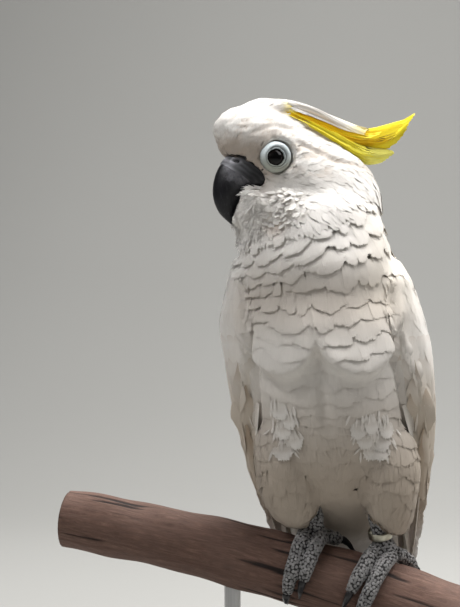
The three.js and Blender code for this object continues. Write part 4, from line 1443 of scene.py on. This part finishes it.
def coverts(side, label):
    """Rounded coverts, row over row, long over the flight feathers."""
    coat = Plumage(f"plumage_coverts_{label}", 15, 7, soft=0.55)
    # Height, feather width and feather length of each row.
    rows = [(136, 14, 26), (124, 15, 29), (112, 16, 32), (100, 17, 36), (88, 18, 42), (75, 18, 52)]
    for r, (height, width, length) in enumerate(rows):
        first, last = math.radians(float(WING_EDGE(height)[0, 0]) + 3), math.radians(88)
        count = int((last - first) * 56 / (width * 0.5))
        for k in range(count + 1):
            angle = lerp(first, last, (k + 0.5 * (r % 2) + RNG.uniform(-0.08, 0.08)) / count)
            drop = 0.15 * width * clump((angle * 30, height, side * 9), 18)
            place, normal = wing_hit(side, height + drop, angle)
            if place is None or not node_at(place).startswith("wing"):
                continue
            way = (0, lerp(0.05, 0.42, float(smooth(150, 70, height))), -1)
            # Coverts are painted darker and warmer near their roots, as shade.
            coat.creep(
                place, turned(way, normal, 0.10 * clump(place, 24, 7.0)), length, width,
                root_lift=-1.0, early=0.4, tip_lift=0.3 + 0.05 * r, cup=0.35, fringe=0.03,
                blunt=0.3, thick=0.5, narrow=0.6, streak=0.01, vary=0.012, deep=0.6,
            )
    coat.build()


def relaxed_line(points):
    points = np.array(points, float)
    inner = (points[:-2] + 2 * points[1:-1] + points[2:]) / 4
    return np.concatenate([points[:1], inner, points[-1:]])


def flight_feathers(side, label):
    """Primaries under secondaries, as long blades down the folded wing, edge beside edge."""
    coat = Plumage(f"plumage_flight_{label}", 9, 16)
    longest_step = 22

    def blade(start, end, width, lift, tint, point=0.35):
        """A blade between two (height, angle) places of the wing."""
        (h0, a0), (h1, a1) = start, end
        path, normals = [], []
        for t in np.linspace(0, 1, coat.along):
            place, normal = wing_hit(side, lerp(h0, h1, t), math.radians(lerp(a0, a1, t**1.2)))
            lost = place is None or (
                path and np.linalg.norm(np.array(place) - path[-1]) > longest_step)
            if lost:
                place, normal = path[-1] + (path[-1] - path[-2]), normals[-1]
            path.append(np.array(place))
            normals.append(np.array(normal))
        for _ in range(3):
            path, normals = relaxed_line(path), relaxed_line(normals)
        coat.add(
            path, normals, width, root_lift=lift - 0.5, tip_lift=lift, falls=(-0.006, -0.006),
            roll=-0.06 * side, cup=0.35, fringe=0.015, blunt=0.4, point=point, narrow=0.6,
            thick=0.45, tint=tint, vary=0.025,
        )

    ends = [-62, -74, -84, -92, -94, -91, -86, -80, -73]
    for t, low in zip(np.arange(9) / 8, ends):
        blade((88 - 6 * t, lerp(-24, 4, t)), (low, lerp(-2, 46, t)), 13, lerp(0.4, -1.6, t),
              lerp(WHITE, TAN, 0.35 + 0.55 * t))
    for t in np.arange(11) / 10:
        blade((78, lerp(-4, 80, t)), (lerp(-52, -8, t), lerp(22, 80, t)), 18, lerp(-0.6, 0.5, t),
              lerp(WHITE, TAN, 0.75), 0.2)
    coat.build(f"wing_{label}_flight")


def tail_feathers():
    """Twelve broad feathers, the middle pair on top of the others."""
    coat = Plumage("plumage_tail", 9, 14)
    # Height, middle from front to back and half width.
    middle_y = through([
        (-139, 96), (-133, 95), (-110, 91), (-70, 82), (-35, 73), (-8, 66), (10, 60),
    ])
    half = through([(-139, 24), (-110, 23), (-70, 21), (-35, 17), (-8, 12), (10, 9)])
    for k in range(12):
        place = (k - 5.5) / 5.5
        depth = abs(place) * 3.2
        bottom = -137 + 4 * abs(place) ** 2
        path, normals = [], []
        for height in np.linspace(8, bottom, coat.along):
            x = place * float(half(height)[0, 0])
            arch = 4.5 * place**2 * float(smooth(0, -60, height))
            y = float(middle_y(height)[0, 0]) + 1.4 - depth * 0.8 - arch
            path.append(np.array([x + lean(height), y, PERCH_TOP + height]))
            normals.append(np.array([0.35 * place, 1.0, 0.12]))
        coat.add(
            path, normals, 21, root_lift=0, tip_lift=0, falls=(-0.006, -0.006), cup=0.4,
            roll=-0.06 * math.copysign(1, place), fringe=0.02, blunt=0.22, narrow=0.5, thick=0.5,
            tint=lerp(WHITE, YELLOW, 0.10), vary=0.03,
        )
    coat.build("tail")


# ---- crest ----
# Forms that the crest's feathers lie round: forward, half width, bottom, top.
HOOD = through([
    (-66, 6, 10, 20), (-63, 7, 9.5, 20), (-46, 9, 12.5, 25), (-30, 10.5, 19.5, 31),
    (-14, 10.5, 25.5, 35.7), (2, 9.5, 29, 37), (14, 6, 30.5, 35), (22, 3, 28, 31.5),
])
PLUMES = through([
    (-96, 1.5, 26, 32.5), (-88, 4, 17, 27.5), (-80, 5.5, 9, 22), (-71, 6.6, 6.5, 19.3),
    (-63.4, 7.5, 7, 19), (-46, 9.8, 8, 22), (-30, 12, 15, 27), (-14, 12.4, 22.5, 31),
])
LOW_PLUMES = through([
    (-82, 1.5, 5, 8.5), (-74, 5, 0, 9.5), (-61, 8, -2, 11), (-46, 10.5, 7, 13.5),
    (-37, 11.8, 12.3, 17.5), (-28, 12.4, 17, 21.5), (-18, 12.6, 22, 25.5), (-10, 12, 25.5, 28.5),
])


def crest():
    """White hood feathers over yellow plumes whose ends curve up, and shorter plumes below."""
    hood = Plumage("crest_hood", 7, 14, soft=0.92)
    plumes = Plumage("crest_plumes", 7, 14, slot="feathers_yellow", soft=0.4)

    def plume(coat, form, start, end, angle, side, width, inset, **more):
        """A plume along a form, at an angle round it and inset from it."""
        path, normals = [], []
        c, s = math.cos(math.radians(angle)), math.sin(math.radians(angle))
        for f in np.linspace(start, end, coat.along):
            half, bottom, top = form(f)[0]
            tall = (top - bottom) / 2
            path.append(head_point(f, side * (half - inset) * c, bottom + tall + (tall - inset) * s))
            normals.append(LEFT * side * c / half + UP * s / tall)
        path, normals = relaxed_line(path), unit(np.array(normals))
        coat.add(path, normals, width * RNG.uniform(0.9, 1.1), **more)

    hood_form = dict(root_lift=-2.2, tip_lift=0.3, early=0.3, cup=0.12, fringe=0.05, blunt=0.45,
                     narrow=0.4, thick=0.3, streak=0.02, vary=0.01, tint_from=0.9, fade=0.35)
    plume_form = dict(cup=0.4, blunt=0.3, point=0.25, narrow=0.5, thick=0.4, streak=0.06, vary=0.03)
    painted_underglow, tipped = np.array([0.93, 0.70, 0.42]), lerp(WHITE, YELLOW, 0.8)
    for side in (-1, 1):
        for t in np.arange(11) / 10:
            start = lerp(-4, 17, min(1, 1.3 * t)) + RNG.uniform(-2, 2)
            end = lerp(-50, -69, t**0.7) + RNG.uniform(-1.5, 1.5)
            # The hood's lower feathers are painted a warm buff as glow and shade under its edge, its
            # upper ones painted brighter than white.
            plume(hood, HOOD, start, end, lerp(-50, 84, t), side, lerp(6.0, 8, t), 0.4,
                  tint=lerp(painted_underglow, WHITE * 1.06, min(1, 0.25 + 2.2 * t)), tip_tint=tipped,
                  **hood_form)
        for t in np.arange(14) / 13:
            end = lerp(-80, -96, t**0.55) + RNG.uniform(-0.4, 0.4)
            # The plumes' middle band, which shows under the hood's edge, is deep gold partly as
            # painted shade.
            tone = lerp(DEEP_YELLOW_AND_SHADE, YELLOW, float(smooth(0.10, 0.22, abs(t - 0.52))))
            plume(plumes, PLUMES, -4, end, lerp(-70, 80, t), side, 6, 0.8, root_lift=-1.6,
                  tip_lift=0.2, early=0.15, fringe=0.03, tint=tone, tip_tint=YELLOW, tint_from=0.8,
                  **plume_form)
        for t in np.arange(9) / 8:
            end = lerp(-75, -82, 1 - abs(2 * t - 1)) + RNG.uniform(-0.8, 0.8)
            # The lower plumes are painted a paler, brighter yellow, as light where they sit in shade.
            plume(plumes, LOW_PLUMES, -10, end, lerp(-75, 75, t), side, 6, 0.6, root_lift=-0.8,
                  tip_lift=0.3, fringe=0.04, tint=(1.0, 0.88, 0.07), tip_tint=(1.0, 0.93, 0.2),
                  tint_from=0.7, **plume_form)
    hood.barbs("crest_hood_barbs", 7, 1.4, share=0.3, over=0.02).build()
    plumes.barbs("crest_plumes_barbs", 7, 1.6, share=0.25, over=0.01, lift=0.05).build()
    hood.build("crest_white")
    plumes.build("crest_tip", "crest_lower")


# ---- bill, eyes ----
# Along the bill: forward and up of its middle, the way it points in degrees down from ahead,
# half its height and half its width.
UPPER_BILL = through([
    (0, 0, -6, 0, 12.5, 12), (12, 12, -7, 12, 13.5, 12), (24, 21.5, -13.5, 45, 12, 10),
    (34, 25.5, -23, 74, 8.5, 7.5), (43, 25, -31, 96, 5.2, 4.8), (53, 21.5, -38.6, 116, 0.9, 0.9),
])
LOWER_BILL = through([
    (0, -4, -27, -8, 6, 9), (10, 6, -29, 5, 6, 9.5), (18, 14, -31, -25, 4.5, 8),
    (24, 17.5, -28.5, -60, 2, 4.5),
])
CERE_RINGS, CERE_AROUND = 70, 96


def bill_rings(rows, end, count, around, swell=0.0):
    rings = []
    for place in np.linspace(0, end, count):
        f, u, down, half, wide = rows(place)[0]
        c, s = math.cos(math.radians(down)), math.sin(math.radians(down))
        ring = []
        for a in turn(around):
            rise = math.sin(a)
            # The ridge is narrower than the cutting edge.
            across = math.cos(a) * (1 - 0.16 * max(0, rise) ** 2)
            rise *= (half + swell) * (1 + 0.02 * math.cos(a * 2))
            ring.append(head_point(f + rise * s, (wide + swell) * across, u + rise * c))
        rings.append(ring)
    return rings


def make_bill():
    verts, faces = ring_loft(bill_rings(UPPER_BILL, 53, 60, 48))
    upper = new_object("bill_upper_horn", verts, faces)
    f, l, u = in_head(verts)
    # Powder lies on the sides below the nostrils and thins out down the hook.
    patch = hump(f, 17.5, 6.5) * hump(u, -11, 5.5) * smooth(2, 6, np.abs(l))
    stripe = hump(f, 25.5, 2.2) * smooth(-16, -10, u) * smooth(4, 0, u)
    stripe = stripe * smooth(1, 3, np.abs(l))
    set_values(upper, "powder", np.clip(1.1 * patch + 1.6 * stripe, 0, 1))
    finished(upper, BILL, "bill", "bill_upper")
    verts, faces = ring_loft(bill_rings(LOWER_BILL, 24, 20, 30))
    lower = new_object("bill_lower_horn", verts, faces)
    set_values(lower, "powder", np.full(len(verts), 0.2))
    finished(lower, BILL, "bill", "bill_lower")

    # The cere: bare skin over the root of the bill, with a nostril on each side.
    rings = bill_rings(UPPER_BILL, 27, CERE_RINGS, CERE_AROUND, 0.8)
    edge = head_point(29, 0, -4)
    up_way = unit(head_point(22, 0, 6) - edge)
    verts, faces = ring_loft(rings)
    below = (verts - edge) @ up_way
    axis = [UPPER_BILL(p)[0][:2] for p in np.linspace(0, 27, CERE_RINGS)]
    middle = np.array([head_point(f, 0, u) for f, u in axis])
    middle = np.concatenate([np.repeat(middle, CERE_AROUND, axis=0), middle[:1], middle[-1:]])
    form = surface_of(verts, faces)
    pit, rim = np.zeros(len(verts)), np.zeros(len(verts))
    for side in (1, -1):
        nostril = form.ray_cast(Vector(head_point(21.6, side * 60, -1.8)), Vector(LEFT * -side))[0]
        rel = verts - np.array(nostril)
        over = np.hypot(rel @ LEFT * 0.8, rel @ unit(UP - FORWARD * 0.35))
        far = np.hypot((rel @ unit(FORWARD + UP * 0.35)) * 0.5, over)
        pit = np.maximum(pit, smooth(1.55, 0.65, far))
        rim = np.maximum(rim, smooth(3.0, 1.9, far) * smooth(1.0, 1.7, far))
    # Soft uneven folds, and a lower edge that sinks into the horn.
    wobble = np.array([noise.noise(Vector(v / 5.0)) for v in verts])
    wave = np.sin(below * 2.3 + 2.2 * wobble)
    folds = (0.16 * wave + 0.25 * wobble) * smooth(-0.2, 1.5, below)
    sink = smooth(1.4, -0.6, below + 0.8 * wobble)
    inward = unit(middle - verts)
    verts = verts + inward * (sink * 2.2 + pit * 1.9 - rim * 0.6 - folds)[:, None]
    cere = new_object("cere_skin", verts, faces)
    # Painted light and shade: the cere is lighter on the crests of its folds and on the nostrils'
    # raised rims, darker in the troughs, and nearly black in the nostril pits.
    tone = 1 + 0.3 * wave + 0.5 * wobble + 1.3 * rim
    f, _, u = in_head(verts)
    pale = smooth(8, 25, f + 0.5 * u)
    band = hump(f, 26, 2.2) * smooth(-16, -11, u)
    tint = (lerp(0.04, 0.22, pale) + 0.3 * band)[:, None] * np.array([0.96, 0.97, 1.06])
    tint = tint * np.clip(tone, 0.3, 3)[:, None] * (1 - 0.97 * pit)[:, None]
    set_tint(cere, tint)
    finished(cere, folded_skin("cere_skin"), "cere", "cere")


# The lids and the folds of bare skin round the eye, from inside out: radius, outward and shade, a
# brightness that paints the folds' light and shade: dark in the grooves and where the skin turns in
# under the lids and out under the feathers, a little brighter on the outer fold's crest.
LIDS = [
    (6.0, -4.5, 0.12), (5.3, -0.9, 0.10), (5.0, 0.3, 0.22), (5.05, 1.15, 0.7), (5.4, 1.6, 1.05),
    (5.85, 1.5, 0.75), (6.15, 1.1, 0.3), (6.45, 1.25, 0.55), (6.9, 1.75, 0.9), (7.3, 1.85, 1.0),
    (7.7, 1.7, 0.85), (8.1, 1.65, 0.95), (8.6, 1.15, 1.1), (9.2, 0.5, 1.15), (10.0, -0.3, 1.1),
    (10.6, -3.5, 0.9), (7.0, -4.6, 0.3),
]
LID_AROUND = 80
BALL_SHIFT = FORWARD * 2.3 - UP * 0.7
BLUE_SKIN, GREEN_SKIN = np.array([0.68, 0.76, 0.79]), np.array([0.42, 0.44, 0.385])


def lathe_on_eye(side, profile, around, shape=None):
    """Rings round the eye's axis through (radius, outward) places."""
    rings = []
    for radius, out in profile:
        ring = []
        for a in turn(around):
            r, o = shape(radius, out, a) if shape else (radius, out)
            middle = EYES + LEFT * side * (EYE_OUT + o)
            ring.append(middle + FORWARD * r * math.cos(a) + UP * r * math.sin(a))
        rings.append(ring)
    return rings


def lid(radius, out, a):
    """The lids' rings, drawn to an almond and wrinkled."""
    share = float(smooth(9.0, 5.2, radius))
    upper, lower = max(0.0, math.sin(a + 0.3)), max(0.0, -math.sin(a))
    r = radius * (1 - 0.07 * share * upper**2 - 0.05 * share * lower**2)
    wobble = 0.14 * math.sin(5 * a + radius) + 0.10 * math.sin(11 * a + 2 * radius)
    wobble = wobble + 0.08 * math.sin(23 * a - radius)
    around_eye = Vector((3 * math.cos(a), 3 * math.sin(a), radius * 0.8))
    wobble = wobble + 0.25 * noise.noise(around_eye)
    r *= lerp(1.02, 0.88, float(smooth(5, 9, radius)))
    out = out + 0.45 * share * upper + wobble * 0.5 * float(radius < 9)
    return r + 0.7 * wobble * share, out


def make_eyes():
    skin_look, eye_look = folded_skin("eye_ring_skin", 1400), eye_material()
    arc = np.linspace(2.6, 0.02, 20)
    ball = [(0.02, -7)] + [(6.2 * math.sin(a), -2.9 + 5.4 * math.cos(a)) for a in arc]
    lids = [(radius, out) for radius, out, _ in LIDS]
    painted_fold_shades = np.repeat([shade for _, _, shade in LIDS], LID_AROUND)
    for name, side in SIDES:
        verts, faces = ring_loft(lathe_on_eye(side, ball, 44))
        if side > 0:
            faces = [f[::-1] for f in faces]
        verts += BALL_SHIFT
        eye = new_object(f"eyeball_{name}", verts, faces)
        f, _, u = in_head(verts - BALL_SHIFT)
        radius = np.hypot(f, u)
        set_values(eye, "iris", smooth(3.0, 3.5, radius) * smooth(5.2, 4.7, radius))
        finished(eye, eye_look, "eye", f"eye_{name}")

        # Lid margin, then concentric folds of bare skin out to the feathers.
        rings = []
        for (radius, _), ring in zip(lids, lathe_on_eye(side, lids, LID_AROUND, lid)):
            near = float(smooth(9, 5.2, radius))
            shift = FORWARD * (1.2 + 1.1 * near) - UP * (0.3 + 0.4 * near)
            rings.append([p + shift for p in ring])
        verts, faces = ring_loft(rings, closed_ends=False)
        last = (len(lids) - 1) * LID_AROUND
        for i in range(LID_AROUND):
            after = (i + 1) % LID_AROUND
            faces.append((last + i, last + after, after, i))
        if side < 0:
            faces = [f[::-1] for f in faces]
        ring = new_object(f"eye_ring_skin_{name}", verts, faces)
        blue = smooth(-0.75, 0.4, (verts[:, 2] - EYES[2]) / 9.2)[:, None]
        set_tint(ring, (GREEN_SKIN + blue * (BLUE_SKIN - GREEN_SKIN)) * painted_fold_shades[:, None])
        finished(ring, skin_look, "eye_ring", f"eye_ring_{name}")


# ---- feet ----
SCALE_SIZE = 1.7
SCALE_CORNERS = 7
SCALE_TINT = np.array([0.30, 0.295, 0.295])
SCALE_LEVELS = ((1.2, -0.3, 0.55), (1.1, 0.03, 1.0), (0.8, 0.13, 1.12))  # share, rise, shade


def scale_places(verts):
    """Vertices about a scale's size apart, in a random order."""
    taken, chosen = {}, []
    for i in RNG.permutation(len(verts)):
        cell = tuple((verts[i] // SCALE_SIZE).astype(int))
        near = [q for a, b, c in NEIGHBOURS
                for q in taken.get((cell[0] + a, cell[1] + b, cell[2] + c), ())]
        if near:
            nearest = min(np.sum((verts[near] - verts[i]) ** 2, axis=1))
            if nearest < (SCALE_SIZE * 0.93) ** 2:
                continue
        taken.setdefault(cell, []).append(i)
        chosen.append(i)
    return chosen


def make_scales(name, verts, normals):
    """Thin domed plates set edge to edge over the skin."""
    n = SCALE_CORNERS
    places, faces, tints = [], [], []
    for i in scale_places(verts):
        normal = normals[i]
        a = unit(np.cross(normal, [0.31, 0.87, 0.39]))
        b = np.cross(normal, a)
        base = len(places)
        spin, tone = RNG.uniform(0, 6.28), RNG.uniform(0.75, 1.25)
        tint = SCALE_TINT * tone
        for share, rise, shade in SCALE_LEVELS:
            for k in range(n):
                t = spin + 2 * math.pi * k / n
                r = SCALE_SIZE * 0.52 * share * (1 + 0.10 * math.sin(3 * t + tone * 9))
                places.append(verts[i] + (a * math.cos(t) + b * math.sin(t)) * r + normal * rise)
                tints.append(tint * shade)
        places.append(verts[i] + normal * 0.16)
        tints.append(tint * 1.15)
        rings = [[base + level * n + k % n for k in range(n + 1)] for level in range(3)]
        for low, high in zip(rings, rings[1:]):
            faces += [(low[k], low[k + 1], high[k + 1], high[k]) for k in range(n)]
        faces += [(rings[2][k], rings[2][k + 1], base + 3 * n) for k in range(n)]
        faces.append(tuple(rings[0][k] for k in reversed(range(n))))
    scales = new_object(f"foot_scales_{name}", np.array(places), faces)
    set_tint(scales, np.array(tints))
    finished(scales, SCALES, "foot_skin")


def make_feet():
    for name, _ in SIDES:
        toes = [f"shank_{name}"] + [f"toe_{name}_{i}" for i in range(1, 5)]
        verts, faces = remeshed(toes, grow=0.35, voxel=0.75)
        verts = relaxed(verts, edges_of(faces), 5)
        normals = normals_of(verts, faces)
        foot = new_object(f"foot_{name}", verts - normals * 0.25, faces)
        finished(foot, FOOT_SKIN, "foot_skin", *toes)
        make_scales(name, verts, normals)
        for i in range(1, 5):
            node = f"claw_{name}_{i}"
            verts, faces = remeshed([node], grow=0.1, voxel=0.45)
            verts = relaxed(verts, edges_of(faces), 4)
            claw = new_object(f"claw_horn_{name}_{i}", verts, faces)
            finished(claw, CLAW, "claw", node)


# ---- perch ----
PERCH_ENDS = -172, 108
PERCH_AROUND = 144
PERCH_RADIUS = through([(-172, 17.5), (-120, 18.5), (-60, 19.5), (0, 21), (60, 21.5), (108, 23)])
END_INSETS = [0.35, 0.7, 0.97]  # the rings that close each sawn end


def perch_middle(x):
    drop = 0.26 * x + 0.000386 * x * x
    return np.array([x, -0.1 * x, PERCH_TOP - 21 - drop])


def make_perch():
    rings, grain, end_grain, crack = [], [], [], []
    first, last = PERCH_ENDS
    xs = np.concatenate([[first] * 3, np.linspace(first, last, 260), [last] * 3])
    insets = END_INSETS + [1.0] * (len(xs) - 6) + END_INSETS[::-1]
    for x, inset in zip(xs, insets):
        along = unit(perch_middle(x + 0.5) - perch_middle(x - 0.5))
        up = unit(UP - along * along[2])
        front = -np.cross(up, along)
        ring = []
        for a in turn(PERCH_AROUND):
            c, s = math.cos(a), math.sin(a)
            radius = float(PERCH_RADIUS(x)[0, 0])
            radius += 0.5 * math.sin(0.07 * x + 2 * a) + 0.35 * math.sin(0.16 * x - 3 * a + 1)
            lines = noise.noise(Vector((x / 42, c * 9, s * 9)))
            fine = noise.noise(Vector((x / 13, c * 26, s * 26 + 7)))
            split = max(0.0, noise.noise(Vector((x / 55 + 3, c * 6.5, s * 6.5 + 20))) - 0.36)
            radius += 0.28 * lines + 0.16 * fine - 2.4 * split
            radius *= inset
            ring.append(perch_middle(x) + up * radius * c + front * radius * s)
            grain.append((x / 30, a / (2 * math.pi) + 0.02 * lines, 0.3 * s))
            end_grain.append(0.0 if inset == 1.0 else 1.0)
            crack.append(min(1.0, split * 9) if inset == 1.0 else 0.0)
        rings.append(ring)
    verts, faces = ring_loft(rings)
    perch = new_object("branch", verts, faces)
    set_values(perch, "grain", grain + [(first / 30, 0, 0), (last / 30, 0, 0)])
    set_values(perch, "end_grain", end_grain + [1.0, 1.0])
    set_values(perch, "crack", crack + [0.3, 0.3])
    finished(perch, wood_material(), "branch", "perch")


# ---- leg band and stand ----
BAND_AROUND = 72
BAND_PROFILE = [  # radius and height
    (6.25, -2.1), (6.45, -2.35), (6.85, -2.35), (7.1, -2.1), (7.16, -1.2), (7.18, 0), (7.16, 1.2),
    (7.1, 2.1), (6.85, 2.35), (6.45, 2.35), (6.25, 2.1), (6.2, 0),
]


def make_band_and_stand():
    verts, _ = mesh_arrays(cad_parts["leg_band"])
    middle = verts.mean(axis=0)
    _, _, axes = np.linalg.svd(verts - middle)
    along = axes[2] * math.copysign(1, axes[2][2])
    a = unit(np.cross(along, [1.0, 0.2, 0.1]))
    b = np.cross(along, a)
    rings = [
        [middle + (a * math.cos(t) + b * math.sin(t)) * radius + along * height
         for t in turn(BAND_AROUND)]
        for radius, height in BAND_PROFILE
    ]
    verts, faces = ring_loft(rings + rings[:1], closed_ends=False)
    count = len(BAND_PROFILE) * BAND_AROUND
    faces = [tuple(i % count for i in f) for f in faces]
    ring = new_object("leg_band_metal", verts[:count], faces)
    finished(ring, BAND, "band", "leg_band")
    for name, look in (("stand_base", PAINT), ("stand_rod_1", STEEL), ("stand_rod_2", STEEL)):
        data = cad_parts[name].data
        data.materials.clear()
        data.materials.append(look)


body_coat()
head_feathers()
cheek_tufts()
loose_tufts()
for label, sign in SIDES:
    shoulder(sign, label)
    coverts(sign, label)
    flight_feathers(sign, label)
tail_feathers()
crest()
make_bill()
make_eyes()
make_feet()
make_perch()
make_band_and_stand()
